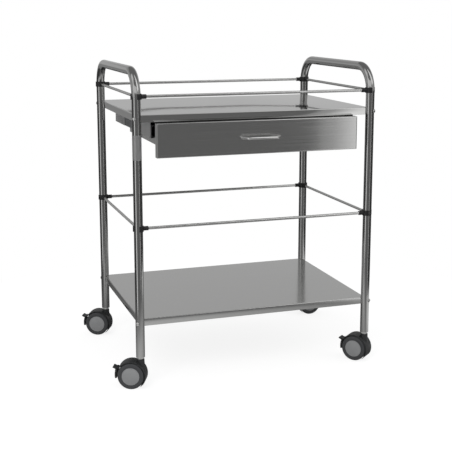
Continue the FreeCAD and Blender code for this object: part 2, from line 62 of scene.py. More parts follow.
# Most values of a noise texture lie between these two
NOISE_LOW, NOISE_HIGH = 0.3, 0.7
UNMOVED = Matrix.Identity(4)
log = logging.getLogger("trolley")

Loop = Sequence[Vector]
Point = tuple[float, float]
Profile = Sequence[Point]


class NamedPlace(Enum):
    """Place on the trolley whose name the nodes spell in small letters."""

    @property
    def word(self) -> str:
        """The place's name as the nodes spell it."""
        return self.name.lower()


class Side(NamedPlace):
    """Left or right of the trolley, with the sign of X."""

    LEFT = -1
    RIGHT = 1


class Corner(NamedPlace):
    """Post of the trolley: the signs of X and Y, and the swivel angle of its caster at rest."""

    FRONT_LEFT = (-1, -1, -24.0)
    FRONT_RIGHT = (1, -1, -49.0)
    BACK_LEFT = (-1, 1, -27.0)
    BACK_RIGHT = (1, 1, 180.0)

    @property
    def inward_degrees(self) -> float:
        """Direction from the post to the middle of the trolley, round Z from +X."""
        return math.degrees(math.atan2(-self.value[1], -self.value[0]))


class Grain(Enum):
    """Direction in which a metal was polished: how far its streaks are drawn together along X, Y and Z."""

    ALONG_X = (1.0, 60.0, 60.0)
    ALONG_Y = (60.0, 1.0, 60.0)
    ALONG_Z = (60.0, 60.0, 1.0)
    NONE = (1.0, 1.0, 1.0)


def linear(code: str) -> tuple[float, float, float, float]:
    """Turns a colour's sRGB hex value into linear light.

    Args:
        code: Six hex digits after a #.

    Returns:
        Red, green, blue and an alpha of 1.
    """
    channels = [int(code[place:place + 2], 16) / 255 for place in (1, 3, 5)]
    light = [value / 12.92 if value <= 0.04045 else ((value + 0.055) / 1.055) ** 2.4 for value in channels]
    return (*light, 1.0)


def add_node(tree: NodeTree, kind: str, inputs: dict[Any, Any] | None = None, **settings: Any) -> Node:
    """Adds a node with its settings, values and links.

    Args:
        tree: Node tree that gets the node.
        kind: The node's type name; the tree puts its own ShaderNode or GeometryNode before it.
        inputs: Socket name or number to a value, an output socket, or a node that gives its first output.
        settings: Attributes to set on the node.

    Returns:
        The new node.
    """
    prefix = "" if kind.startswith("NodeGroup") else tree.bl_idname.replace("Tree", "")
    node = tree.nodes.new(prefix + kind)
    for name, value in settings.items():
        setattr(node, name, value)
    for name, value in (inputs or {}).items():
        source = value.outputs[0] if isinstance(value, Node) else value
        if isinstance(source, NodeSocket):
            tree.links.new(source, node.inputs[name])
        else:
            node.inputs[name].default_value = source
    return node


def blank_material(name: str) -> tuple[Material, NodeTree]:
    """Makes an empty node material.

    Args:
        name: The material's name.

    Returns:
        The material and its node tree.
    """
    material = bpy.data.materials.new(name)
    material.use_nodes = True
    material.node_tree.nodes.clear()
    return material, material.node_tree


@dataclass(frozen=True)
class Bow:
    """Slight bow of a sheet, in metres: its middle leans to the front and its ends lie nearly level."""

    slope: float
    middle: float = -0.06
    even_reach: float = 0.1
    end_reach: float = 0.42
    front_fold: float = -0.245

    def normal(self, tree: NodeTree, place: NodeSocket, before: Node) -> Node:
        """Tilts a normal by the bow.

        Args:
            tree: The material's node tree.
            place: Socket of the object's coordinates.
            before: Node of the normal so far.

        Returns:
            Node of the tilted normal.
        """
        parts = add_node(tree, "SeparateXYZ", {0: place})
        shifted = add_node(tree, "Math", {0: parts, 1: -self.middle}, operation="ADD")
        aside = add_node(tree, "Math", {0: shifted}, operation="ABSOLUTE")
        lean = add_node(tree, "MapRange", {"Value": aside, "From Min": self.even_reach, "From Max": self.end_reach,
                                           "To Min": self.slope, "To Max": 0.0}, interpolation_type="SMOOTHSTEP")
        # Measured from the front fold, so that the flange below the fold stays straight
        depth = add_node(tree, "Math", {0: parts.outputs[1], 1: -self.front_fold}, operation="ADD")
        rise = add_node(tree, "Math", {0: lean, 1: depth}, operation="MULTIPLY")
        return add_node(tree, "Bump", {"Height": rise, "Strength": 1.0, "Distance": 1.0, "Normal": before})


@dataclass(frozen=True)
class StainlessFinish:
    """Polished or brushed stainless steel: a grey mirror blurred by fine scratches along one direction."""

    name: str
    colour: str
    roughness: float
    grain: Grain
    streak_mm: float
    tone_spread: float = 0.04
    gloss_spread: float = 0.15
    scratch_mm: float = 0.001
    waviness: float = 0.0
    wave_mm: float = 110.0
    bow: Bow | None = None
    cloud_gloss: float = 0.3
    upright_blur: bool = False

    def material(self) -> Material:
        """Builds the finish: streaks vary the gloss and the tone, slow waves bend the reflections.

        Returns:
            The material.
        """
        material, tree = blank_material(self.name)
        place = add_node(tree, "TexCoord").outputs["Object"]
        along = add_node(tree, "Mapping", {"Vector": place, "Scale": self.grain.value})
        streaks = add_node(tree, "TexNoise", {"Vector": along, "Detail": 3.0, "Roughness": 0.5,
                                              "Scale": 1 / (self.streak_mm * MM * max(Grain.ALONG_X.value))})
        clouds = add_node(tree, "TexNoise", {"Vector": place, "Scale": 1 / (self.wave_mm * MM), "Detail": 2.0})
        gloss = add_node(tree, "MapRange", {"Value": streaks, "From Min": NOISE_LOW, "From Max": NOISE_HIGH,
                                            "To Min": self.roughness * (1 - self.gloss_spread),
                                            "To Max": self.roughness * (1 + self.gloss_spread)})
        cloudy = add_node(tree, "Math", {0: clouds, 1: self.roughness * self.cloud_gloss, 2: gloss},
                          operation="MULTIPLY_ADD")
        light = linear(self.colour)
        dark = [channel * (1 - 2 * self.tone_spread) for channel in light[:3]] + [1.0]
        tone = add_node(tree, "Mix", {0: streaks, 6: dark, 7: light}, data_type="RGBA")
        normal = add_node(tree, "Bump", {"Height": streaks, "Strength": 1.0, "Distance": self.scratch_mm * MM})
        normal = add_node(tree, "Bump", {"Height": clouds, "Strength": self.waviness, "Distance": MM,
                                         "Normal": normal})
        if self.bow:
            normal = self.bow.normal(tree, place, normal)
        steel = add_node(tree, "BsdfPrincipled", {"Base Color": tone.outputs[2], "Metallic": 1.0,
                                                  "Roughness": cloudy, "Normal": normal})
        if self.upright_blur:
            steel.inputs["Anisotropic"].default_value = 1.0
            tree.links.new(add_node(tree, "CombineXYZ", {"Z": 1.0}).outputs[0], steel.inputs["Tangent"])
        add_node(tree, "OutputMaterial", {"Surface": steel})
        return material


@dataclass(frozen=True)
class MouldedFinish:
    """Moulded plastic or rubber: a fine sparked grain that breaks up the highlights."""

    name: str
    colour: str
    roughness: float
    grain_mm: float
    grain_depth: float
    mottle: float = 0.12
    gloss_spread: float = 0.15
    cloud_mm: float = 1000 / 60

    def material(self) -> Material:
        """Builds the finish: grain for the bump, soft clouds for handling marks and tone.

        Returns:
            The material.
        """
        material, tree = blank_material(self.name)
        place = add_node(tree, "TexCoord").outputs["Object"]
        grain = add_node(tree, "TexNoise", {"Vector": place, "Scale": 1 / (self.grain_mm * MM), "Detail": 3.0})
        clouds = add_node(tree, "TexNoise", {"Vector": place, "Scale": 1 / (self.cloud_mm * MM), "Detail": 4.0})
        low, high = [[min(1.0, channel * share) for channel in linear(self.colour)[:3]] + [1.0]
                     for share in (1 - self.mottle, 1 + self.mottle)]
        tone = add_node(tree, "Mix", {0: clouds, 6: low, 7: high}, data_type="RGBA")
        gloss = add_node(tree, "MapRange", {"Value": clouds, "From Min": NOISE_LOW, "From Max": NOISE_HIGH,
                                            "To Min": self.roughness * (1 - self.gloss_spread),
                                            "To Max": self.roughness * (1 + self.gloss_spread)})
        bump = add_node(tree, "Bump", {"Height": grain, "Strength": self.grain_depth, "Distance": 0.1 * MM})
        plastic = add_node(tree, "BsdfPrincipled", {"Base Color": tone.outputs[2], "Roughness": gloss,
                                                    "IOR": PLASTIC_IOR, "Normal": bump})
        add_node(tree, "OutputMaterial", {"Surface": plastic})
        return material


class Finish(Enum):
    """Every finish of the trolley."""

    # Drawn tube, belt polished along its length: sharp bright lines between dark ones
    TUBE_POST = StainlessFinish("polished_stainless_post_tube", "#B8B8B7", 0.11, Grain.ALONG_Z, 6.0,
                                tone_spread=0.01, gloss_spread=0.05, scratch_mm=0.0)
    # Cold rolled sheet, bright annealed and slightly bowed: the back rail shows in it as a bent line
    SHELF = StainlessFinish("bright_rolled_shelf_sheet", "#C8C8C7", 0.05, Grain.ALONG_X, 2.4, tone_spread=0.03,
                            gloss_spread=0.2, scratch_mm=0.0005, waviness=0.04, wave_mm=90.0, bow=Bow(0.024))
    # The same sheet scuffed by what stood on it: the posts only just show in it
    LOWER_SHELF = StainlessFinish("scuffed_rolled_shelf_sheet", "#C8C8C7", 0.12, Grain.ALONG_X, 12.0,
                                  tone_spread=0.02, gloss_spread=0.1, scratch_mm=0.0005, waviness=0.05,
                                  wave_mm=60.0)
    # Sheet of the drawer, brushed across its width: the soft box's upright edge stays readable in it, and all
    # else is drawn out up and down
    DRAWER = StainlessFinish("brushed_stainless_drawer_sheet", "#C6C6C5", 0.115, Grain.ALONG_X, 4.0,
                             tone_spread=0.06, gloss_spread=0.2, scratch_mm=0.0005, waviness=0.06,
                             wave_mm=120.0, upright_blur=True)
    # Cold drawn bar, bright as drawn: a soft light line along each rail
    ROD = StainlessFinish("drawn_stainless_rod", "#CFCFCE", 0.2, Grain.NONE, 3.0)
    # Polished rod of the drawer's pull: paler and sharper than the rails
    PULL = StainlessFinish("polished_stainless_pull", "#DEDEDD", 0.16, Grain.NONE, 3.0)
    # Plain plate with its mill surface left: no clear reflections
    HANGER = StainlessFinish("mill_finish_hanger_plate", "#D4D4D4", 0.4, Grain.ALONG_Y, 2.0, tone_spread=0.06)
    # Zinc plated strip: duller and greyer than the stainless round it
    RUNNER = StainlessFinish("zinc_plated_runner_strip", "#8E9092", 0.34, Grain.ALONG_Y, 1.6, tone_spread=0.05)
    # Turned and polished small parts: small sharp highlights
    FASTENER = StainlessFinish("turned_stainless_fastener", "#D8D8D7", 0.18, Grain.NONE, 2.0)
    # Blank satin foil round one post: an even grey between the tube's sharp lines
    FOIL = StainlessFinish("blank_satin_foil", "#C2C2C2", 0.45, Grain.NONE, 2.0)
    # Near-white coat on the caster stems, even, with hardly a reflection: its pale colour is a painted highlight
    # that lights the collar in the tube's shade
    PLATED = MouldedFinish("zinc_flake_coated_stem", "#F2F2F0", 0.5, 0.4, 0.05, mottle=0.03)
    # Undyed polyethylene plugs in the tube ends: milky and pale
    PLUG = MouldedFinish("moulded_natural_polyethylene", "#E4E4E0", 0.5, 0.6, 0.06, mottle=0.05)
    # Black acetal clips, satin from the mould
    CLIP = MouldedFinish("moulded_black_acetal", "#1A1A1B", 0.42, 0.5, 0.1)
    # Glass filled nylon: slightly grey sheen on black
    HOUSING = MouldedFinish("glass_filled_black_nylon", "#2A2B2C", 0.46, 0.8, 0.1)
    # Grey polypropylene wheel centre, dull and even
    WHEEL = MouldedFinish("grey_polypropylene_wheel", "#9A9B9C", 0.5, 0.8, 0.08, mottle=0.09)
    # Soft dark grey tread, duller than the housing
    TREAD = MouldedFinish("dark_grey_soft_tread", "#464749", 0.62, 0.9, 0.15)


def around(place: Matrix, radius: float, height: float, turn: float) -> Vector:
    """Point at a radius and a height round the Z axis of a place, with the turn in radians."""
    return place @ Vector((radius * math.cos(turn), radius * math.sin(turn), height))


class Shell:
    """Mesh under construction, in millimetres, from closed surfaces."""

    def __init__(self) -> None:
        """Starts with no faces."""
        self.mesh = bmesh.new()

    def skin(self, loops: Sequence[Loop], joined: bool = False) -> None:
        """Covers a row of equal loops with faces.

        Args:
            loops: Loops of points, each with the same number.
            joined: Joins the last loop to the first; otherwise both are closed.
        """
        rows = [[self.mesh.verts.new(point * MM) for point in loop] for loop in loops]
        for first, second in list(zip(rows, rows[1:])) + ([(rows[-1], rows[0])] if joined else []):
            for here in range(len(first)):
                there = (here + 1) % len(first)
                self.mesh.faces.new((first[here], first[there], second[there], second[here]))
        if not joined:
            self.mesh.faces.new(list(reversed(rows[0])))
            self.mesh.faces.new(rows[-1])

    def turned(self, profile: Profile, place: Matrix = UNMOVED, ring: bool = False, steps: int = 64) -> None:
        """Revolves a profile about the place's Z axis.

        Args:
            profile: Radius and height of each point.
            place: Where the turning axis is.
            ring: The profile is closed and clear of the axis.
            steps: Points round a full turn.
        """
        turns = [2 * math.pi * step / steps for step in range(steps)]
        self.skin([[around(place, radius, height, turn) for turn in turns] for radius, height in profile], ring)

    def sector(self, profile: Profile, place: Matrix, start: float, end: float, steps: int) -> None:
        """Sweeps a closed profile round part of the place's Z axis.

        Args:
            profile: Radius and height of each point of the closed outline.
            place: Where the axis is.
            start: First angle, in degrees.
            end: Last angle, in degrees.
            steps: Number of stretches between the two.
        """
        turns = [math.radians(start + (end - start) * step / steps) for step in range(steps + 1)]
        self.skin([[around(place, radius, height, turn) for radius, height in profile] for turn in turns])

    def slab(self, outline: Loop, travel: Vector) -> None:
        """Moves an outline along a vector and closes both ends."""
        self.skin([list(outline), [point + travel for point in outline]])

    def piece(self, name: str, smooth_degrees: float = SHARP_DEGREES) -> Object:
        """Ends the mesh and makes it an object at the origin.

        Args:
            name: The object's name.
            smooth_degrees: Edges flatter than this are shaded smooth.

        Returns:
            The new object.
        """
        bmesh.ops.remove_doubles(self.mesh, verts=self.mesh.verts, dist=WELD_DISTANCE)
        bmesh.ops.recalc_face_normals(self.mesh, faces=self.mesh.faces)
        data = bpy.data.meshes.new(name)
        self.mesh.to_mesh(data)
        self.mesh.free()
        return shown(name, data, smooth_degrees)


def in_scene(name: str, data: ID) -> Object:
    """Puts a mesh, a lamp or a camera in the scene.

    Args:
        name: The object's name.
        data: What it holds.

    Returns:
        The new object.
    """
    made = bpy.data.objects.new(name, data)
    bpy.context.scene.collection.objects.link(made)
    return made


def shown(name: str, data: Mesh, smooth_degrees: float = SHARP_DEGREES) -> Object:
    """Puts a mesh in the scene, shaded smooth but for its sharp edges.

    Args:
        name: The object's name.
        data: The mesh.
        smooth_degrees: Edges flatter than this are shaded smooth.

    Returns:
        The new object.
    """
    data.polygons.foreach_set("use_smooth", [True] * len(data.polygons))
    data.set_sharp_from_angle(angle=math.radians(smooth_degrees))
    return in_scene(name, data)


def applied(piece: Object, name: str) -> Object:
    """Turns a piece with live modifiers into a plain mesh.

    Args:
        piece: Object whose modifiers are applied; it is removed.
        name: Name of the result.

    Returns:
        A plain object with the same materials.
    """
    bpy.context.view_layer.update()
    graph = bpy.context.evaluated_depsgraph_get()
    data = bpy.data.meshes.new_from_object(piece.evaluated_get(graph))
    bpy.data.objects.remove(piece)
    return shown(name, data)


def cut(piece: Object, cutters: Sequence[Object]) -> Object:
    """Cuts closed solids out of a piece.

    Args:
        piece: The piece to cut.
        cutters: Closed solids; they are removed.

    Returns:
        The cut piece, under the same name.
    """
    name = piece.name
    for cutter in cutters:
        step = piece.modifiers.new("cut", "BOOLEAN")
        step.operation, step.solver, step.object = "DIFFERENCE", "EXACT", cutter
    piece.name = name + "_uncut"
    result = applied(piece, name)
    for cutter in cutters:
        bpy.data.objects.remove(cutter)
    return result


def softened(piece: Object, width_mm: float) -> Object:
    """Rounds a piece's sharp edges with a bevel that stays live.

    Args:
        piece: The piece.
        width_mm: Width of the bevel.

    Returns:
        The same piece.
    """
    bevel = piece.modifiers.new("soft_edges", "BEVEL")
    bevel.width, bevel.segments = width_mm * MM, 2
    bevel.limit_method, bevel.angle_limit = "ANGLE", math.radians(SHARP_DEGREES)
    bevel.harden_normals = True
    return piece


def rounded_corner(centre: Point, radius: float, start: float, end: float, steps: int) -> list[Point]:
    """Points of an arc in a plane.

    Args:
        centre: The arc's centre.
        radius: Its radius.
        start: First angle, in degrees.
        end: Last angle, in degrees.
        steps: Number of stretches between the two.

    Returns:
        The points, first and last ones included.
    """
    turns = [math.radians(start + (end - start) * step / steps) for step in range(steps + 1)]
    return [(centre[0] + radius * math.cos(turn), centre[1] + radius * math.sin(turn)) for turn in turns]


def rounded_bar(low: Point, high: Point, radius: float, steps: int = 4) -> list[Point]:
    """Closed outline of a rectangle with rounded corners.

    Args:
        low: Lower left corner.
        high: Upper right corner.
        radius: Radius of the four corners.
        steps: Stretches in each corner.

    Returns:
        Points of the outline.
    """
    left, right = low[0] + radius, high[0] - radius
    bottom, top = low[1] + radius, high[1] - radius
    outline = []
    for quarter, centre in enumerate(((right, top), (left, top), (left, bottom), (right, bottom))):
        outline += rounded_corner(centre, radius, 90 * quarter, 90 * quarter + 90, steps)
    return outline


def bent_line(points: Sequence[Vector], radii: Sequence[float], steps: int) -> list[Vector]:
    """Line through points with its inner corners rounded.

    Args:
        points: Ends and corners.
        radii: Bend radius at each inner corner.
        steps: Stretches in each bend.

    Returns:
        Points of the rounded line.
    """
    line = [points[0]]
    for before, corner, after, radius in zip(points, points[1:], points[2:], radii):
        back, ahead = (before - corner).normalized(), (after - corner).normalized()
        half = back.angle(ahead) / 2
        centre = corner + (back + ahead).normalized() * (radius / math.sin(half))
        first = corner + back * (radius / math.tan(half)) - centre
        last = corner + ahead * (radius / math.tan(half)) - centre
        line += [centre + first.slerp(last, step / steps) * radius for step in range(steps + 1)]
    return line + [points[-1]]


class Workshop:
    """Makes finished pieces: materials, geometry trees, and what each piece stands for."""

    def __init__(self) -> None:
        """Builds both geometry trees; a material follows when it is first asked for."""
        self.bar = self.swept_bar()
        self.set_out = self.pieces_on_points()
        self.made: dict[Finish, Material] = {}

    def material(self, finish: Finish) -> Material:
        """Gives a finish its material.

        Args:
            finish: The finish.

        Returns:
            Its material, built the first time.
        """
        if finish not in self.made:
            self.made[finish] = finish.value.material()
        return self.made[finish]

    @staticmethod
    def open_tree(name: str, **sockets: str) -> tuple[NodeTree, Node]:
        """Starts a geometry tree with named inputs.

        Args:
            name: The tree's name.
            sockets: Name of each input after the geometry, to its socket type.

        Returns:
            The tree and its input node.
        """
        tree = bpy.data.node_groups.new(name, "GeometryNodeTree")
        tree.interface.new_socket("Geometry", in_out="INPUT", socket_type="NodeSocketGeometry")
        tree.interface.new_socket("Geometry", in_out="OUTPUT", socket_type="NodeSocketGeometry")
        for socket, kind in {**sockets, "Material": "Material"}.items():
            tree.interface.new_socket(socket, in_out="INPUT", socket_type="NodeSocket" + kind)
        return tree, add_node(tree, "NodeGroupInput")

    @staticmethod
    def close_tree(tree: NodeTree, given: Node, shape: Node) -> NodeTree:
        """Ends a tree: instances made real, then the material set.

        Args:
            tree: The tree.
            given: Its input node.
            shape: Node that makes the geometry.

        Returns:
            The tree.
        """
        real = add_node(tree, "RealizeInstances", {"Geometry": shape})
        finished = add_node(tree, "SetMaterial", {"Geometry": real, "Material": given.outputs["Material"]})
        add_node(tree, "NodeGroupOutput", {0: finished})
        return tree

    @classmethod
    def swept_bar(cls) -> NodeTree:
        """Round bar that follows a line of edges, with flat ends.

        Returns:
            The tree.
        """
        tree, given = cls.open_tree("round_bar_along_line", Radius="Float", Sides="Int")
        line = add_node(tree, "MeshToCurve", {"Mesh": given})
        circle = add_node(tree, "CurvePrimitiveCircle",
                          {"Resolution": given.outputs["Sides"], "Radius": given.outputs["Radius"]})
        bar = add_node(tree, "CurveToMesh", {"Curve": line, "Profile Curve": circle, "Fill Caps": True})
        return cls.close_tree(tree, given, bar)

    @classmethod
    def pieces_on_points(cls) -> NodeTree:
        """One copy of a piece on each point, turned as the point's own attribute says.

        Returns:
            The tree.
        """
        tree, given = cls.open_tree("piece_on_each_point", Piece="Object")
        pattern = add_node(tree, "ObjectInfo", {"Object": given.outputs["Piece"]}, transform_space="ORIGINAL")
        turn = add_node(tree, "InputNamedAttribute", {"Name": "turn"}, data_type="FLOAT_VECTOR")
        copies = add_node(tree, "InstanceOnPoints", {"Points": given, "Instance": pattern.outputs["Geometry"],
                                                     "Rotation": turn})
        return cls.close_tree(tree, given, copies)

    def run(self, name: str, data: Mesh, tree: NodeTree, finish: Finish, **values: Any) -> Object:
        """Runs a tree on a mesh and keeps the plain result.

        Args:
            name: Name of the piece.
            data: Mesh that holds the line or the points.
            tree: The geometry tree.
            finish: Finish of the piece.
            values: Input name to value.

        Returns:
            The finished plain object.
        """
        holder = in_scene(name + "_pattern", data)
        modifier = holder.modifiers.new("shape", "NODES")
        modifier.node_group = tree
        values["Material"] = self.material(finish)
        for item in tree.interface.items_tree:
            if item.in_out == "INPUT" and item.name in values:
                modifier[item.identifier] = values[item.name]
        return applied(holder, name)

    def bars(self, name: str, line: Sequence[Vector], radius: float, sides: int, finish: Finish, slot: str,
             body: str, node: str) -> None:
        """Makes a dressed round bar along a line.

        Args:
            name: Name of the piece.
            line: Points of the line.
            radius: Radius of the bar.
            sides: Faces round it.
            finish: Its finish.
            slot: The record's material slot.
            body: The body that it rides on.
            node: CAD node that it replaces.
        """
        data = bpy.data.meshes.new(name)
        data.from_pydata([point * MM for point in line], [(step, step + 1) for step in range(len(line) - 1)], [])
        bar = self.run(name, data, self.bar, finish, Radius=radius * MM, Sides=sides)
        self.dress(bar, finish, slot, body, node)

    def copies(self, name: str, pattern: Object, places: Sequence[tuple[Vector, Euler]], finish: Finish,
               slot: str, node: str) -> None:
        """Sets dressed copies of a pattern on places of the frame.

        Args:
            name: Name of the result.
            pattern: Piece to copy; it is removed.
            places: Point and turn of each copy.
            finish: Their finish.
            slot: The record's material slot.
            node: CAD node that they replace.
        """
        data = bpy.data.meshes.new(name)
        data.from_pydata([point * MM for point, turn in places], [], [])
        turns = data.attributes.new("turn", "FLOAT_VECTOR", "POINT")
        turns.data.foreach_set("vector", [angle for point, turn in places for angle in turn])
        result = self.run(name, data, self.set_out, finish, Piece=pattern)
        bpy.data.objects.remove(pattern)
        self.dress(result, finish, slot, "frame", node)

    def dress(self, piece: Object, finish: Finish, slot: str, body: str, *nodes: str) -> None:
        """Gives a finished piece its material and its body, and hides the nodes that it stands for.

        Args:
            piece: The finished piece, with its place in its mesh.
            finish: Its finish.
            slot: The record's material slot; not used.
            body: The body that it rides on.
            nodes: CAD nodes that it replaces.
        """
        piece.data.materials.clear()
        piece.data.materials.append(self.material(finish))
        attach(piece, body)
        if nodes:
            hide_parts(*nodes)
        log.info("%s: %d faces on %s", piece.name, len(piece.data.polygons), body)


@dataclass
class TubeFrame:
    """Two bent tube ends and the blank foil on one post."""

    shop: Workshop
    spacing_x: float = 690.0
    spacing_y: float = 490.0
    tube_radius: float = 12.5
    foot_height: float = 90.0
    handle_height: float = 882.0
    bend_radius: float = 70.0
    foil_bottom: float = 645.0
    foil_top: float = 713.0
    foil_start: float = 120.0
    foil_end: float = 345.0
    foil_gap: float = 0.02
    foil_proud: float = 0.08

    def post(self, corner: Corner, height: float = 0.0) -> Vector:
        """Point on a post's axis."""
        return Vector((corner.value[0] * self.spacing_x / 2, corner.value[1] * self.spacing_y / 2, height))

    def build(self) -> None:
        """Makes both ends and the foil."""
        foot, top, half = self.foot_height, self.handle_height, self.spacing_y / 2
        for side in Side:
            x = side.value * self.spacing_x / 2
            corners = [Vector((x, y, z)) for y, z in ((-half, foot), (-half, top), (half, top), (half, foot))]
            line = bent_line(corners, [self.bend_radius] * 2, 28)
            self.shop.bars("end_tube_" + side.word, line, self.tube_radius, 64, Finish.TUBE_POST,
                           "brushed_steel_tube", "frame", "end_frame_" + side.word)
        # Blank foil wrapped round two thirds of the front left post
        shell = Shell()
        inner, outer = self.tube_radius + self.foil_gap, self.tube_radius + self.foil_proud
        profile = [(inner, self.foil_bottom), (outer, self.foil_bottom), (outer, self.foil_top),
                   (inner, self.foil_top)]
        shell.sector(profile, Matrix.Translation(self.post(Corner.FRONT_LEFT)), self.foil_start, self.foil_end, 48)
        self.shop.dress(shell.piece("post_foil"), Finish.FOIL, "brushed_steel_tube", "frame")


@dataclass
class Shelves:
    """Two folded trays and the screws and nuts that hold them to the posts."""

    shop: Workshop
    frame: TubeFrame
    upper: float = 766.0
    lower: float = 198.0
    flange: float = 20.0
    sheet: float = 1.2
    lip: float = 12.0
    fold: float = 2.0
    shading_ring: float = 1.5
    seat_gap: float = 0.1
    screw_gap: float = 0.05
    screw_radius: float = 3.0
    head_radius: float = 5.5
    head_height: float = 3.6
    head_edge: float = 0.5
    nut_flats: float = 10.0
    nut_thickness: float = 5.0
    nut_chamfer: float = 0.4

    def outline(self, inset: float, height: float) -> list[Vector]:
        """Edge of the tray, hollow round each post.

        Args:
            inset: How far it is moved in.
            height: Its height.

        Returns:
            Points of the closed edge.
        """
        radius = self.frame.tube_radius + self.seat_gap + inset
        reach = math.asin(inset / radius)
        turns = [reach + (math.pi / 2 - 2 * reach) * step / 12 for step in range(13)]
        points = []
        for corner in (Corner.FRONT_LEFT, Corner.FRONT_RIGHT, Corner.BACK_RIGHT, Corner.BACK_LEFT):
            sign_x, sign_y, _ = corner.value
            arc = [self.frame.post(corner, height) -
                   Vector((sign_x * radius * math.cos(turn), sign_y * radius * math.sin(turn), 0))
                   for turn in turns]
            points += arc[::-1] if sign_x * sign_y > 0 else arc
        return points

    def tray(self, name: str, top: float) -> Object:
        """Folded tray with a rounded upper edge and a lip turned in below.

        Args:
            name: The tray's name.
            top: Height of its upper face.

        Returns:
            The tray.
        """
        bottom, sheet, edge = top - self.flange, self.sheet, 0.001
        # The first ring lies inside the fold and keeps the top's shading level up to its edge
        levels = [(self.fold + self.shading_ring, top)]
        for step in range(7):
            turn = math.pi / 2 * step / 6
            levels.append((max(self.fold - math.sin(turn) * self.fold, edge),
                           top - self.fold + math.cos(turn) * self.fold))
        levels += [(edge, bottom + 0.5), (0.15, bottom + 0.15), (0.5, bottom), (self.lip, bottom),
                   (self.lip, bottom + sheet), (sheet, bottom + sheet), (sheet, top - sheet)]
        shell = Shell()
        shell.skin([self.outline(inset, height) for inset, height in levels])
        return shell.piece(name)

    @property
    def nut_seat(self) -> float:
        """Distance from a post's axis to the nuts inside the shelf's corner."""
        return self.frame.tube_radius + self.seat_gap + self.sheet + self.screw_gap

    def screw(self) -> Object:
        """Domed screw through a post from outside, along Z, with the post's axis at the origin.

        Returns:
            The screw.
        """
        seat, radius = -self.frame.tube_radius - self.screw_gap, self.screw_radius
        end, edge = self.nut_seat + self.nut_thickness + 0.1, self.head_edge
        dome = [(self.head_radius * math.cos(turn), seat - edge - (self.head_height - edge) * math.sin(turn))
                for turn in [math.pi / 2 * (1 - step / 10) for step in range(11)]]
        shell = Shell()
        shell.turned(dome + [(self.head_radius, seat), (radius, seat), (radius, end - 0.6), (radius - 0.6, end),
                             (0.0, end)], steps=40)
        return shell.piece("screw_pattern")

    def nut(self) -> Object:
        """Hexagon nut on the same axis.

        Returns:
            The nut.
        """
        circle, chamfer, high = self.nut_flats / math.sqrt(3), self.nut_chamfer, self.nut_thickness
        inner = self.screw_radius + self.screw_gap
        shell = Shell()
        shell.turned([(inner, 0.0), (circle - chamfer, 0.0), (circle, chamfer), (circle, high - chamfer),
                      (circle - chamfer, high), (inner, high)], Matrix.Translation((0, 0, self.nut_seat)), True, 6)
        return shell.piece("nut_pattern")

    def build(self) -> None:
        """Makes both trays, the screws and the nuts."""
        for name, top, finish in (("upper_shelf", self.upper, Finish.SHELF),
                                  ("lower_shelf", self.lower, Finish.LOWER_SHELF)):
            self.shop.dress(self.tray(name + "_tray", top), finish, "steel_sheet", "frame", name)
        places = [(self.frame.post(corner, top - self.flange / 2),
                   Euler((0, math.pi / 2, math.radians(corner.inward_degrees))))
                  for top in (self.upper, self.lower) for corner in Corner]
        for name, pattern in (("screw", self.screw()), ("nut", self.nut())):
            self.shop.copies(f"shelf_{name}_set", pattern, places, Finish.FASTENER, "fastener_steel",
                             f"shelf_{name}s")


@dataclass
class GuardRails:
    """Rails above each shelf and the snap clips that hold them to the posts."""

    shop: Workshop
    frame: TubeFrame
    heights: tuple[tuple[str, float], ...] = (("upper", 816.0), ("lower", 456.0))
    rail_radius: float = 4.0
    rail_gap: float = 0.05
    end_inset: float = 14.95
    clip_gap: float = 0.1
    clip_wall: float = 2.5
    clip_height: float = 15.5
    clip_wrap: float = 262.0
    clip_rounding: float = 0.7
    socket_radius: float = 6.0
    socket_reach: float = 15.5
    socket_start: float = 0.6

    def clip(self) -> Object:
        """Snap clip of a post whose rails run along +X and +Y, centred on the post's axis.

        Returns:
            The clip.
        """
        shell = Shell()
        inner = self.frame.tube_radius + self.clip_gap
        half, wrap = self.clip_height / 2, self.clip_wrap / 2
        ring = rounded_bar((inner, -half), (inner + self.clip_wall, half), self.clip_rounding)
        shell.sector(ring, UNMOVED, 45 - wrap, 45 + wrap, 56)
        end, start = self.frame.tube_radius + self.socket_reach, inner + self.socket_start
        bore, outer = self.rail_radius + self.rail_gap, self.socket_radius
        tube = [(bore, start), (outer, start), (outer, end - 0.8), (outer - 0.25, end - 0.25), (outer - 0.8, end),
                (bore, end), (bore, inner + self.clip_wall)]
        for axis_turn in (Euler((0, math.pi / 2, 0)), Euler((-math.pi / 2, 0, 0))):
            shell.turned(tube, axis_turn.to_matrix().to_4x4(), True, 40)
        return shell.piece("clip_pattern")

    def build(self) -> None:
        """Makes the rails and the clips of both levels."""
        half_x, half_y = self.frame.spacing_x / 2, self.frame.spacing_y / 2
        near_x, near_y = half_x - self.end_inset, half_y - self.end_inset
        ends = {"front": ((-near_x, -half_y), (near_x, -half_y)), "back": ((-near_x, half_y), (near_x, half_y)),
                "left": ((-half_x, -near_y), (-half_x, near_y)), "right": ((half_x, -near_y), (half_x, near_y))}
        turns = {Corner.FRONT_LEFT: 0, Corner.FRONT_RIGHT: 90, Corner.BACK_RIGHT: 180, Corner.BACK_LEFT: 270}
        for level, height in self.heights:
            for place, line in ends.items():
                self.shop.bars(f"{level}_rod_{place}", [Vector((x, y, height)) for x, y in line],
                               self.rail_radius, 40, Finish.ROD, "steel_rod", "frame", f"{level}_rail_{place}")
            places = [(self.frame.post(corner, height), Euler((0, 0, math.radians(turn))))
                      for corner, turn in turns.items()]
            self.shop.copies(level + "_clip_set", self.clip(), places, Finish.CLIP, "clip_plastic",
                             level + "_rail_clips")


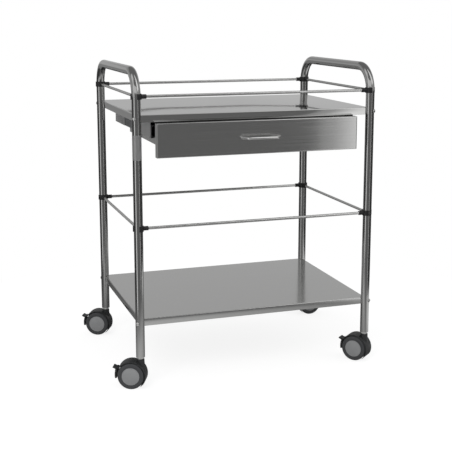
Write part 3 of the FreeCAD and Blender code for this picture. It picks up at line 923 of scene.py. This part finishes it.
@dataclass
class Drawer:
    """Drawer front, box and pull, with the hangers and telescopic runners that carry them."""

    shop: Workshop
    front_face: float = -268.0
    front_back: float = -248.0
    front_half: float = 295.0
    front_bottom: float = 650.0
    front_top: float = 744.0
    front_corner: float = 1.2
    shading_ring: float = 1.5
    sheet: float = 1.2
    front_fold: float = 2.5
    box_half: float = 288.1
    box_back: float = 90.0
    box_bottom: float = 682.0
    box_top: float = 742.0
    box_sheet: float = 1.0
    box_corner: float = 0.6
    rim: float = 6.0
    hanger_outer: float = 302.0
    hanger_flange: float = 18.0
    hanger_front: float = -224.0
    hanger_back: float = 230.0
    hanger_top: float = 764.8
    hanger_bottom: float = 699.5
    window: Point = (-60.0, 100.0)
    window_top: float = 738.8
    runner_middle: float = 717.5
    edge_softness: float = 0.25
    pull_foot: float = 56.0
    pull_bar: float = 42.0
    pull_bend: float = 7.0
    pull_reach: float = 28.0
    pull_radius: float = 4.0

    def build(self) -> None:
        """Makes every piece of the drawer and its guides."""
        self.front()
        self.box()
        self.pull()
        for side in Side:
            self.hanger(side)
            self.runner(side)

    def front(self) -> None:
        """Folded pan with softened edges, open at the back."""
        fold, corner = self.front_fold, self.front_corner
        # The first ring lies inside the fold and keeps the face's shading level up to its edge
        levels = [(fold + self.shading_ring, self.front_face, corner)]
        for step in range(8):
            turn = math.pi / 2 * step / 7
            levels.append((fold * (1 - math.sin(turn)), self.front_face + fold * (1 - math.cos(turn)), corner))
        levels += [(0, self.front_back - 0.3, corner), (0.3, self.front_back, 1.0),
                   (self.sheet, self.front_back, 0.6), (self.sheet, self.front_face + self.sheet, 0.6)]
        shell = Shell()
        shell.skin([[Vector((x, y, z)) for x, z in rounded_bar(
            (-self.front_half + inset, self.front_bottom + inset),
            (self.front_half - inset, self.front_top - inset), radius, 5)] for inset, y, radius in levels])
        self.shop.dress(shell.piece("drawer_front_pan"), Finish.DRAWER, "steel_sheet", "drawer", "drawer_front")

    def box(self) -> None:
        """Open sheet box with a rim folded inwards."""
        bottom, top, sheet, rim = self.box_bottom, self.box_top, self.box_sheet, self.rim
        levels = [(0.0, bottom), (0.0, top), (rim, top), (rim, top - sheet), (sheet, top - sheet),
                  (sheet, bottom + sheet)]
        shell = Shell()
        shell.skin([[Vector((x, y, height)) for x, y in rounded_bar(
            (-self.box_half + inset, self.front_back + inset), (self.box_half - inset, self.box_back - inset),
            self.box_corner, 3)] for inset, height in levels])
        self.shop.dress(shell.piece("drawer_tray"), Finish.DRAWER, "steel_sheet", "drawer", "drawer_box")

    def pull(self) -> None:
        """Bent rod on two feet, and the screws inside the front."""
        height = (self.front_top + self.front_bottom) / 2
        foot, bar, face = self.pull_foot, self.pull_bar, self.front_face
        bend, reach = face - self.pull_bend, face - self.pull_reach
        places = ((-foot, face), (-foot, bend), (-bar, reach), (bar, reach), (foot, bend), (foot, face))
        line = bent_line([Vector((x, y, height)) for x, y in places], [5.0, 9.0, 9.0, 5.0], 12)
        self.shop.bars("drawer_pull_rod", line, self.pull_radius, 40, Finish.PULL, "steel_rod", "drawer",
                       "drawer_pull")
        shell = Shell()
        for sign in (-1, 1):
            seat = Matrix.Translation((sign * foot, face + self.sheet, height))
            shell.turned([(0, 2.5), (2.6, 2.5), (3.7, 1.9), (4.0, 1.0), (4.0, 0), (0, 0)],
                         seat @ Matrix.Rotation(-math.pi / 2, 4, "X"), steps=32)
        self.shop.dress(shell.piece("pull_screw_heads"), Finish.FASTENER, "fastener_steel", "drawer",
                        "drawer_pull_screws")

    def hanger(self, side: Side) -> None:
        """Angle plate with a window open below.

        Args:
            side: Side of the drawer that it carries.
        """
        sign, inner = side.value, self.hanger_outer - self.sheet
        front, back, low, top = self.hanger_front, self.hanger_back, self.hanger_bottom, self.hanger_top
        first, last = self.window
        outline = [(front, low), (first, low), (first, self.window_top), (last, self.window_top), (last, low),
                   (back, low), (back, top), (front, top)]
        shell = Shell()
        shell.slab([Vector((sign * inner, y, z)) for y, z in outline], Vector((sign * self.sheet, 0, 0)))
        edge = self.hanger_outer - self.hanger_flange
        corners = [(edge, top - self.sheet), (inner, top - self.sheet), (inner, top), (edge, top)]
        shell.slab([Vector((sign * x, front, z)) for x, z in corners], Vector((0, back - front, 0)))
        self.shop.dress(softened(shell.piece("hanger_plate_" + side.word), self.edge_softness),
                        Finish.HANGER, "hanger_steel", "frame", "drawer_hanger_" + side.word)

    def runner(self, side: Side) -> None:
        """Three nested channels of one telescopic runner.

        Args:
            side: Side of the drawer that it carries.
        """
        # Each member: name, body, depth of its web, way its flanges point, their reach, half height, front, length
        members = (("fixed", "frame", 0.0, 1, 9.7, 17.5, -224.0, 350.0),
                   ("middle", "middle_" + side.word, 2.4, 1, 11.2, 16.0, -222.0, 346.0),
                   ("drawer", "drawer", 12.7, -1, 3.9, 14.5, -222.0, 310.0))
        for name, body, web, way, reach, half, front, length in members:
            inner, flange = web + self.sheet * way, half - self.sheet
            outline = [(web, -half), (reach, -half), (reach, -flange), (inner, -flange), (inner, flange),
                       (reach, flange), (reach, half), (web, half)]
            shell = Shell()
            shell.slab([Vector((side.value * (self.hanger_outer - self.sheet - depth), front,
                                self.runner_middle + rise)) for depth, rise in outline], Vector((0, length, 0)))
            self.shop.dress(softened(shell.piece(f"channel_{name}_{side.word}"), self.edge_softness),
                            Finish.RUNNER, "runner_steel", body, f"runner_{name}_{side.word}")


@dataclass
class Caster:
    """One twin-wheel swivel caster with a foot brake, built round its stem and then set below its post."""

    shop: Workshop
    frame: TubeFrame
    corner: Corner
    trail: float = 25.5
    wheel_radius: float = 37.5
    inner_face: float = 5.7
    outer_face: float = 21.7
    tyre_thickness: float = 6.5
    tyre_inset: float = 1.4
    tyre_shoulder: float = 4.0
    face_radius: float = 25.0
    crown: float = 1.6
    hood_inner: float = 39.3
    hood_outer: float = 42.3
    hood_half_width: float = 21.0
    hood_start: float = -25.0
    hood_tail: float = -46.0
    hood_tail_wall: float = 0.7
    hood_end: float = 146.0
    web_half: float = 5.0
    neck_radius: float = 11.0
    neck_bottom: float = 44.0
    neck_top: float = 83.7
    neck_flare: float = 0.8
    pivot_radius: float = 44.5
    pivot_degrees: float = 165.0
    ear_radius: float = 4.5
    shoe_inner: float = 41.9
    shoe_outer: float = 47.3
    shoe_start: float = 151.0
    shoe_end: float = 192.0
    bridge_start: float = 173.0
    brake_half: float = 11.0
    pedal_degrees: float = 156.0

    def __post_init__(self) -> None:
        """Works out the places of the caster, its axle, its pivot and its pedal."""
        self.place = Matrix.Translation(self.frame.post(self.corner)) @ self.spin(self.corner.value[2])
        # The axle's own frame has its Z along the axle and its X towards the stem's side
        self.axle = self.place @ Matrix(((1, 0, 0, -self.trail), (0, 0, 1, 0), (0, 1, 0, self.wheel_radius),
                                         (0, 0, 0, 1)))
        self.pivot = self.axle @ Matrix.Translation(around(UNMOVED, self.pivot_radius, 0,
                                                           math.radians(self.pivot_degrees)))

    @staticmethod
    def spin(degrees: float) -> Matrix:
        """Turn about Z."""
        return Matrix.Rotation(math.radians(degrees), 4, "Z")

    def build(self) -> None:
        """Makes the housing, the pins, both wheels and the brake."""
        corner, dress = "_" + self.corner.word, self.shop.dress
        dress(self.housing(), Finish.HOUSING, "caster_plastic", "caster" + corner, "caster_housing" + corner)
        dress(self.pins(), Finish.FASTENER, "pin_steel", "caster" + corner, "caster_pins" + corner)
        # Each part of a wheel: name, CAD node, profile, closed ring or not, finish, slot
        parts = (("wheel_disc", "caster_wheel", self.wheel(), False, Finish.WHEEL, "wheel_plastic"),
                 ("wheel_tyre", "caster_tyre", self.tyre(), True, Finish.TREAD, "tyre"))
        for side in Side:
            which = f"{corner}_{side.word}"
            for name, node, profile, ring, finish, slot in parts:
                shell = Shell()
                shell.turned([(radius, -side.value * height) for radius, height in profile], self.axle, ring, 96)
                dress(shell.piece(name + which, 30), finish, slot, "wheel" + which, node + which)
        dress(self.brake(), Finish.HOUSING, "caster_plastic", "brake" + corner, "caster_brake" + corner)

    def beam(self, shell: Shell, place: Matrix, outline: Profile, half: float) -> None:
        """Adds a bar that lies across the caster, level with the axle.

        Args:
            shell: Mesh that gets the bar.
            place: Where its outline lies.
            outline: Points of its closed outline.
            half: Half its length.
        """
        shell.slab([place @ Vector((x, y, -half)) for x, y in outline],
                   place.to_3x3() @ Vector((0, 0, 2 * half)))

    def housing(self) -> Object:
        """Hood over the wheels, web between them and the neck that takes the stem.

        Returns:
            The housing.
        """
        neck = Shell()
        slim, top, bottom = self.neck_radius, self.neck_top, self.neck_bottom
        wide = slim + self.neck_flare
        neck.turned([(0, bottom), (wide, bottom), (wide, 66.0), (slim + 0.3, 73.0), (slim, 77.0),
                     (slim, top - 0.8), (slim - 0.8, top), (0, top)], self.place, steps=56)
        spaces, reach, half, ear = [], self.hood_inner, self.web_half, self.ear_radius
        for low, high in ((-40.0, -half), (half, 40.0)):
            space = Shell()
            space.turned([(0, low), (reach, low), (reach, high), (0, high)], self.axle, steps=96)
            spaces.append(space.piece("wheel_space"))
        shape = cut(neck.piece("neck_pattern"), spaces)
        shell = Shell()
        shell.mesh.from_mesh(shape.data)
        bpy.data.objects.remove(shape)
        tail, end = int(self.hood_tail), int(self.hood_end)
        shell.skin([self.hood_section(degrees) for degrees in range(tail, end + 1, 2)])
        web = rounded_corner((0, 0), self.hood_outer - 0.5, -25, 143, 28) + rounded_corner((0, 0), 36, 150, 204, 9)
        self.beam(shell, self.axle, web + [(-31, -18), (38, -18)], half)
        shell.turned([(0, -half), (ear - 0.5, -half), (ear, 0.5 - half), (ear, half - 0.5), (ear - 0.5, half),
                      (0, half)], self.pivot, steps=32)
        self.beam(shell, self.axle @ self.spin(self.pivot_degrees),
                  [(20, -ear), (self.pivot_radius, -ear), (self.pivot_radius, ear), (20, ear)], half)
        return shell.piece("caster_body_" + self.corner.word, 32)

    def hood_section(self, degrees: float) -> list[Vector]:
        """Outline of the hood's wall at one angle round the axle; its tail grows thin towards the floor.

        Args:
            degrees: Angle round the axle from the stem's side.

        Returns:
            Points of the closed outline.
        """
        inner, half = self.hood_inner, self.hood_half_width
        share = min(1.0, (degrees - self.hood_tail) / (self.hood_start - self.hood_tail))
        wall = self.hood_tail_wall + (self.hood_outer - inner - self.hood_tail_wall) * share
        shoulder, chamfer = 0.73 * wall, 0.1 * wall
        turned_in = inner + wall - shoulder
        outline = rounded_corner((turned_in, half - shoulder), shoulder, 0, 90, 5)
        outline += [(inner + chamfer, half), (inner, half - chamfer), (inner, chamfer - half),
                    (inner + chamfer, -half)]
        outline += rounded_corner((turned_in, shoulder - half), shoulder, 270, 360, 5)
        return [around(self.axle, radius, height, math.radians(degrees)) for radius, height in outline]

    def pins(self) -> Object:
        """Axle and brake pin.

        Returns:
            Both pins in one piece.
        """
        shell = Shell()
        # Each pin: place, radius, half length, chamfer, faces
        for place, radius, half, chamfer, steps in ((self.axle, 4.0, self.outer_face - 4.55, 0.3, 32),
                                                    (self.pivot, 1.5, self.brake_half - 0.05, 0.2, 24)):
            slim, long = radius - chamfer, half - chamfer
            shell.turned([(0, -half), (slim, -half), (radius, -long), (radius, long), (slim, half), (0, half)],
                         place, steps=steps)
        return shell.piece("axle_and_pin_" + self.corner.word)

    def wheel(self) -> list[Point]:
        """Hub, disc and rim, with a crowned face inside a raised lip.

        Returns:
            Radius and height of each point of the profile.
        """
        outer, start, lip = self.outer_face, self.inner_face, self.face_radius
        rim, face, edge = self.wheel_radius - self.tyre_thickness, outer - self.tyre_inset, outer + 0.5
        bore, hub, back, disc, hollow = 4.05, 8.0, outer - 4.5, outer - 5.2, 27.5
        crown = [((lip - 1.4) * (1 - step / 12), edge - 0.25 + (self.crown + 0.25) * (1 - (1 - step / 12) ** 2))
                 for step in range(13)]
        return [(0, back), (bore, back), (bore, start), (hub - 0.4, start), (hub, start + 0.4), (hub, disc),
                (hollow, disc), (hollow, start + 0.7), (rim, start + 0.7), (rim, face), (lip, face),
                (lip, edge - 0.5), (lip - 0.15, edge - 0.15), (lip - 0.5, edge), (lip - 1.1, edge)] + crown

    def tyre(self) -> list[Point]:
        """Tyre with a rounded tread shoulder and a sidewall over the rim.

        Returns:
            Radius and height of each point of the closed profile.
        """
        outer, start, lip = self.outer_face, self.inner_face, self.face_radius
        tread, face, shoulder = self.wheel_radius, outer - self.tyre_inset, self.tyre_shoulder
        rim = tread - self.tyre_thickness
        return [(rim, face), (rim, start), (tread - 2.0, start), (tread - 0.6, start + 0.5), (tread, start + 2.0),
                *rounded_corner((tread - shoulder, outer - shoulder), shoulder, 0, 90, 8),
                (lip + 1.0, outer), (lip + 0.35, outer - 0.2), (lip + 0.1, outer - 0.6), (lip + 0.1, face)]

    def brake(self) -> Object:
        """Curved shoe forked round the ear, with a pedal and grip ribs.

        Returns:
            The lever.
        """
        shell = Shell()
        half, fork, inner, outer = self.brake_half, self.web_half + 0.4, self.shoe_inner, self.shoe_outer
        for low, high in ((fork, half), (-half, -fork)):
            shell.sector(rounded_bar((inner, low), (outer, high), 0.9, 3), self.axle, self.shoe_start,
                         self.shoe_end, 16)
        shell.sector(rounded_bar((inner + 0.1, -fork - 1), (outer - 0.1, fork + 1), 0.3, 2), self.axle,
                     self.bridge_start, self.shoe_end - 0.4, 10)
        pedal = self.axle @ self.spin(self.pedal_degrees)
        self.beam(shell, pedal, rounded_bar((inner + 0.4, -2.1), (57.3, 2.1), 1.2, 4), half)
        for rib in range(3):
            x = 50.6 + 2.3 * rib
            self.beam(shell, pedal, rounded_bar((x, 1.6), (x + 1.1, 2.5), 0.35, 2), half - 1.5)
        return softened(shell.piece("brake_lever_" + self.corner.word, 32), 0.3)


@dataclass
class CasterStems:
    """Stems of the four casters, and the plugs that hold them in the tubes."""

    shop: Workshop
    frame: TubeFrame
    plug_bottom: float = 88.5
    collar_radius: float = 7.5
    collar_height: float = 4.5
    lip_radius: float = 12.2
    plug_radius: float = 10.95
    plug_bore: float = 5.55
    plug_length: float = 34.0

    def build(self) -> None:
        """Makes the stems and the plugs."""
        places = [(self.frame.post(corner, self.plug_bottom), Euler((0, 0, 0))) for corner in Corner]
        low, collar = -self.collar_height, self.collar_radius
        stem = Shell()
        stem.turned([(0, low - 13), (4.4, low - 13), (5, low - 12.4), (5, low), (collar - 0.5, low),
                     (collar, low + 0.5), (collar, -0.5), (collar - 0.5, 0), (5.5, 0), (5.5, 37.4), (4.9, 38),
                     (0, 38)], steps=48)
        # The stems' near-white colour is a painted highlight
        self.shop.copies("caster_stem_set", stem.piece("stem_pattern"), places, Finish.PLATED, "pin_steel",
                         "caster_stems")
        bore, lip, length = self.plug_bore, self.lip_radius, self.plug_length
        plug = Shell()
        plug.turned([(bore, 0), (lip - 0.5, 0), (lip, 0.5), (lip, 1.5), (self.plug_radius, 1.5),
                     (self.plug_radius, length), (bore, length)], ring=True)
        self.shop.copies("post_plug_set", plug.piece("plug_pattern"), places, Finish.PLUG, "plug_plastic",
                         "post_plugs")


@dataclass(frozen=True)
class SoftBox:
    """Lit part of the surroundings, in degrees: azimuth runs from the front towards the trolley's right."""

    left: float
    right: float
    fade_left: float
    fade_right: float
    low: float
    high: float
    fade: float
    bright: float

    @staticmethod
    def band(tree: NodeTree, value: Node, low: float, high: float, fade_in: float, fade_out: float) -> Node:
        """Mask that is 1 between two values and fades outside them.

        Args:
            tree: Node tree.
            value: Node that gives the value.
            low: Lower edge.
            high: Upper edge.
            fade_in: Width of the fade below the lower edge.
            fade_out: Width of the fade above the upper edge.

        Returns:
            The mask's node.
        """
        rise, fall = [add_node(tree, "MapRange", {"Value": value, "From Min": first, "From Max": last,
                                                  "To Min": start, "To Max": 1.0 - start},
                               interpolation_type="SMOOTHSTEP")
                      for first, last, start in ((low - fade_in, low, 0.0), (high, high + fade_out, 1.0))]
        return add_node(tree, "Math", {0: rise, 1: fall}, operation="MULTIPLY")

    def light(self, tree: NodeTree, azimuth: Node, height: Node) -> Node:
        """Brightness of this box at an azimuth and an elevation.

        Args:
            tree: Node tree.
            azimuth: Node of the azimuth.
            height: Node of the elevation.

        Returns:
            Node of the brightness.
        """
        across = self.band(tree, azimuth, self.left, self.right, self.fade_left, self.fade_right)
        upward = self.band(tree, height, self.low, self.high, self.fade, self.fade)
        mask = add_node(tree, "Math", {0: across, 1: upward}, operation="MULTIPLY")
        return add_node(tree, "Math", {0: mask, 1: self.bright}, operation="MULTIPLY")


SOFT_BOXES = (
    # Grey drapes in front
    SoftBox(-46.0, 24.0, 14.0, 2.0, -90.0, 38.0, 6.0, 0.175),
    # At the left: a wide box above the drapes, a tall one beside them and a high one further round
    SoftBox(-80.0, 8.0, 6.0, 6.0, 15.0, 38.0, 3.0, 0.85),
    SoftBox(-76.0, -54.0, 3.0, 3.0, -60.0, 38.0, 3.0, 0.95),
    SoftBox(-112.0, -62.0, 6.0, 6.0, 36.0, 62.0, 6.0, 0.85),
    # At the right: a narrow box with a dim left edge, and a high one
    SoftBox(24.3, 28.0, 0.4, 2.0, -60.0, 75.0, 6.0, 0.45),
    SoftBox(28.2, 30.0, 5.0, 3.0, -60.0, 75.0, 6.0, 1.15),
    SoftBox(23.5, 60.0, 2.5, 8.0, 24.0, 84.0, 8.0, 1.3),
    # Floor edge and pale walls behind, walls at both sides, and the ceiling
    SoftBox(-200.0, -152.0, 6.0, 8.0, -50.0, 2.0, 4.0, 0.28),
    SoftBox(112.0, 200.0, 6.0, 6.0, 1.0, 11.0, 6.0, 0.52),
    SoftBox(112.0, 200.0, 6.0, 6.0, 11.0, 30.0, 6.0, 0.5),
    SoftBox(-200.0, -112.0, 6.0, 6.0, 1.0, 11.0, 6.0, 0.5),
    SoftBox(-200.0, -112.0, 6.0, 6.0, 11.0, 30.0, 6.0, 0.4),
    SoftBox(38.0, 112.0, 6.0, 6.0, 2.0, 30.0, 6.0, 0.42),
    SoftBox(-112.0, -86.0, 4.0, 4.0, 2.0, 30.0, 6.0, 0.42),
    SoftBox(-200.0, 200.0, 8.0, 8.0, 38.0, 95.0, 8.0, 0.22),
)


@dataclass
class Studio:
    """Pale floor, soft lamps, a ring of reflectors that only polished surfaces show, and the camera."""

    camera_place: tuple[float, float, float] = (-0.9300, -2.7774, 1.0388)
    camera_yaw: float = 0.3192
    camera_pitch: float = 0.1817
    camera_roll: float = -0.0009
    focal_pixels: float = 971.7
    centre_row: float = 190.0
    frame_pixels: float = 452.0
    sensor_mm: float = 36.0
    floor_radius: float = 1150.0
    floor_glow: float = 0.84
    dome_radius: float = 9000.0
    dome_height: float = 700.0
    drape_light: float = 0.06
    aim: tuple[float, float, float] = (0.0, 0.0, 0.4)
    lamp_set: tuple[tuple[Any, ...], ...] = (("key_lamp", (-1.9, -2.4, 2.6), 46.0, 1.6),
                                             ("fill_lamp", (2.4, -1.8, 1.8), 18.0, 1.8))

    def build(self) -> None:
        """Makes everything round the trolley."""
        self.world()
        self.floor()
        self.dome()
        self.lamps()
        self.camera()

    def world(self) -> None:
        """White behind the trolley, and an even light on it."""
        world = bpy.data.worlds.new("white_room")
        world.use_nodes = True
        tree = world.node_tree
        tree.nodes.clear()
        ray = add_node(tree, "LightPath").outputs
        seen = add_node(tree, "Math", {0: ray["Is Camera Ray"], 1: ray["Is Glossy Ray"]}, operation="MAXIMUM")
        seen_white = add_node(tree, "Math", {0: seen, 1: ray["Is Transmission Ray"]}, operation="MAXIMUM")
        strength = add_node(tree, "MapRange", {"Value": seen_white, "To Min": 0.6, "To Max": 1.0})
        light = add_node(tree, "Background", {"Color": linear(WHITE), "Strength": strength})
        add_node(tree, "OutputWorld", {"Surface": light})
        bpy.context.scene.world = world

    def floor(self) -> None:
        """Round pale floor that shows white and keeps a faint shadow; polished metal shows painted light and shade
        in it.
        """
        shell = Shell()
        shell.turned([(0, -2.0), (self.floor_radius, -2.0), (self.floor_radius, 0.0), (0, 0.0)], steps=96)
        disc = shell.piece("studio_floor")
        material, tree = blank_material("pale_floor_paint")
        ray = add_node(tree, "LightPath").outputs
        place = add_node(tree, "TexCoord").outputs["Object"]
        x, y, _ = add_node(tree, "SeparateXYZ", {0: place}).outputs
        reach = add_node(tree, "VectorMath", {0: place}, operation="LENGTH").outputs["Value"]
        # Painted light and shade that only polished metal shows: in reflections the floor is brightest in front
        # and to the left of the casters, painted shade darkens it behind and under the trolley, and a painted glow
        # at the right stands in for the right soft box
        near, right, across, along = [
            add_node(tree, "MapRange", {"Value": value, "From Min": first, "From Max": last, "To Min": start,
                                        "To Max": end}, interpolation_type=kind)
            for value, kind, first, last, start, end in (
                (reach, "SMOOTHSTEP", 0.55, 1.15, 0.55, 0.12), (x, "SMOOTHSTEP", 0.4, 0.75, 0.07, 0.75),
                (x, "LINEAR", -0.5, 0.5, 1.3, 0.5), (y, "LINEAR", -0.45, 0.15, 1.1, 0.2))]
        slant = add_node(tree, "Math", {0: across, 1: along}, operation="MULTIPLY")
        painted_light_shade_patch = add_node(tree, "Math", {0: near, 1: slant}, operation="MULTIPLY")
        shared = add_node(tree, "Math", {0: ray["Is Glossy Ray"], 1: ray["Is Transmission Ray"]},
                          operation="MAXIMUM")
        # Painted glow at the right of the floor, seen only by glossy and transmission rays
        painted_glow_seen_in_metal = add_node(tree, "Math", {0: shared, 1: right}, operation="MULTIPLY")
        seen = add_node(tree, "Math", {0: ray["Is Camera Ray"], 1: self.floor_glow, 2: painted_glow_seen_in_metal},
                        operation="MULTIPLY_ADD")
        glow = add_node(tree, "Emission", {"Color": linear(WHITE), "Strength": seen})
        # The floor's colour in reflections: painted light in front and at the left, painted shade behind and under
        # the trolley
        painted_reflection_colour = add_node(tree, "Mix", {0: shared, 6: linear("#949494"), 7: painted_light_shade_patch}, data_type="RGBA")
        share = add_node(tree, "Mix", {0: ray["Is Camera Ray"], 6: painted_reflection_colour.outputs[2], 7: linear("#8A8A8A")},
                         data_type="RGBA")
        paint = add_node(tree, "BsdfDiffuse", {"Color": share.outputs[2]})
        both = add_node(tree, "AddShader", {0: glow, 1: paint})
        add_node(tree, "OutputMaterial", {"Surface": both})
        disc.data.materials.append(material)

    def dome(self) -> None:
        """Studio surroundings for reflections: dark drapes, tall soft boxes, pale walls and a ceiling."""
        shell = Shell()
        steps = 48
        turns = [math.pi * step / steps for step in range(steps + 1)]
        shell.turned([(self.dome_radius * math.sin(turn), self.dome_height - self.dome_radius * math.cos(turn))
                      for turn in turns], steps=96)
        dome = shell.piece("studio_surroundings")
        material, tree = blank_material("drapes_and_soft_boxes")
        centred = add_node(tree, "VectorMath", {0: add_node(tree, "TexCoord").outputs["Object"],
                                                1: (0.0, 0.0, self.dome_height * MM)}, operation="SUBTRACT")
        way = add_node(tree, "VectorMath", {0: centred}, operation="NORMALIZE")
        x, y, z = add_node(tree, "SeparateXYZ", {0: way}).outputs
        ahead = add_node(tree, "Math", {0: y, 1: -1.0}, operation="MULTIPLY")
        turn = add_node(tree, "Math", {0: x, 1: ahead}, operation="ARCTAN2")
        rise = add_node(tree, "Math", {0: z}, operation="ARCSINE")
        azimuth, height = [add_node(tree, "Math", {0: angle}, operation="DEGREES") for angle in (turn, rise)]
        total = self.drape_light
        for box in SOFT_BOXES:
            total = add_node(tree, "Math", {0: total, 1: box.light(tree, azimuth, height)}, operation="MAXIMUM")
        glow = add_node(tree, "Emission", {"Color": linear(WHITE), "Strength": total})
        add_node(tree, "OutputMaterial", {"Surface": glow})
        material.cycles.emission_sampling = "NONE"
        dome.data.materials.append(material)
        for way_seen in ("camera", "diffuse", "shadow", "transmission", "volume_scatter"):
            setattr(dome, "visible_" + way_seen, False)

    def lamps(self) -> None:
        """Two soft lamps for the plastics and the floor; polished surfaces show the soft boxes instead."""
        for name, place, watts, size in self.lamp_set:
            data = bpy.data.lights.new(name, "AREA")
            data.energy, data.size = watts, size
            lamp = in_scene(name, data)
            lamp.location = place
            lamp.rotation_euler = (Vector(self.aim) - Vector(place)).to_track_quat("-Z", "Y").to_euler()
            lamp.visible_glossy = False

    def camera(self) -> None:
        """Camera at the photograph's place and angle."""
        data = bpy.data.cameras.new("camera")
        data.sensor_fit = "HORIZONTAL"
        data.sensor_width = self.sensor_mm
        data.lens = self.sensor_mm * self.focal_pixels / self.frame_pixels
        data.shift_y = (self.centre_row - self.frame_pixels / 2) / self.frame_pixels
        yaw, pitch, roll = self.camera_yaw, self.camera_pitch, self.camera_roll
        ahead = Vector((math.sin(yaw) * math.cos(pitch), math.cos(yaw) * math.cos(pitch), -math.sin(pitch)))
        level = Vector((math.cos(yaw), -math.sin(yaw), 0))
        upward = level.cross(ahead)
        right = level * math.cos(roll) + upward * math.sin(roll)
        top = upward * math.cos(roll) - level * math.sin(roll)
        camera = in_scene("camera", data)
        camera.matrix_world = (Matrix.Translation(self.camera_place) @
                               Matrix((right, top, -ahead)).transposed().to_4x4())
        bpy.context.scene.camera = camera


def main() -> None:
    """Builds the trolley's pieces in order, then the studio."""
    logging.basicConfig(level=logging.INFO, format="%(name)s %(message)s")
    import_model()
    shop = Workshop()
    frame = TubeFrame(shop)
    frame.build()
    Shelves(shop, frame).build()
    GuardRails(shop, frame).build()
    Drawer(shop).build()
    for corner in Corner:
        Caster(shop, frame, corner).build()
    CasterStems(shop, frame).build()
    Studio().build()
    bpy.context.scene.view_settings.view_transform = "Standard"


if __name__ == "__main__":
    main()
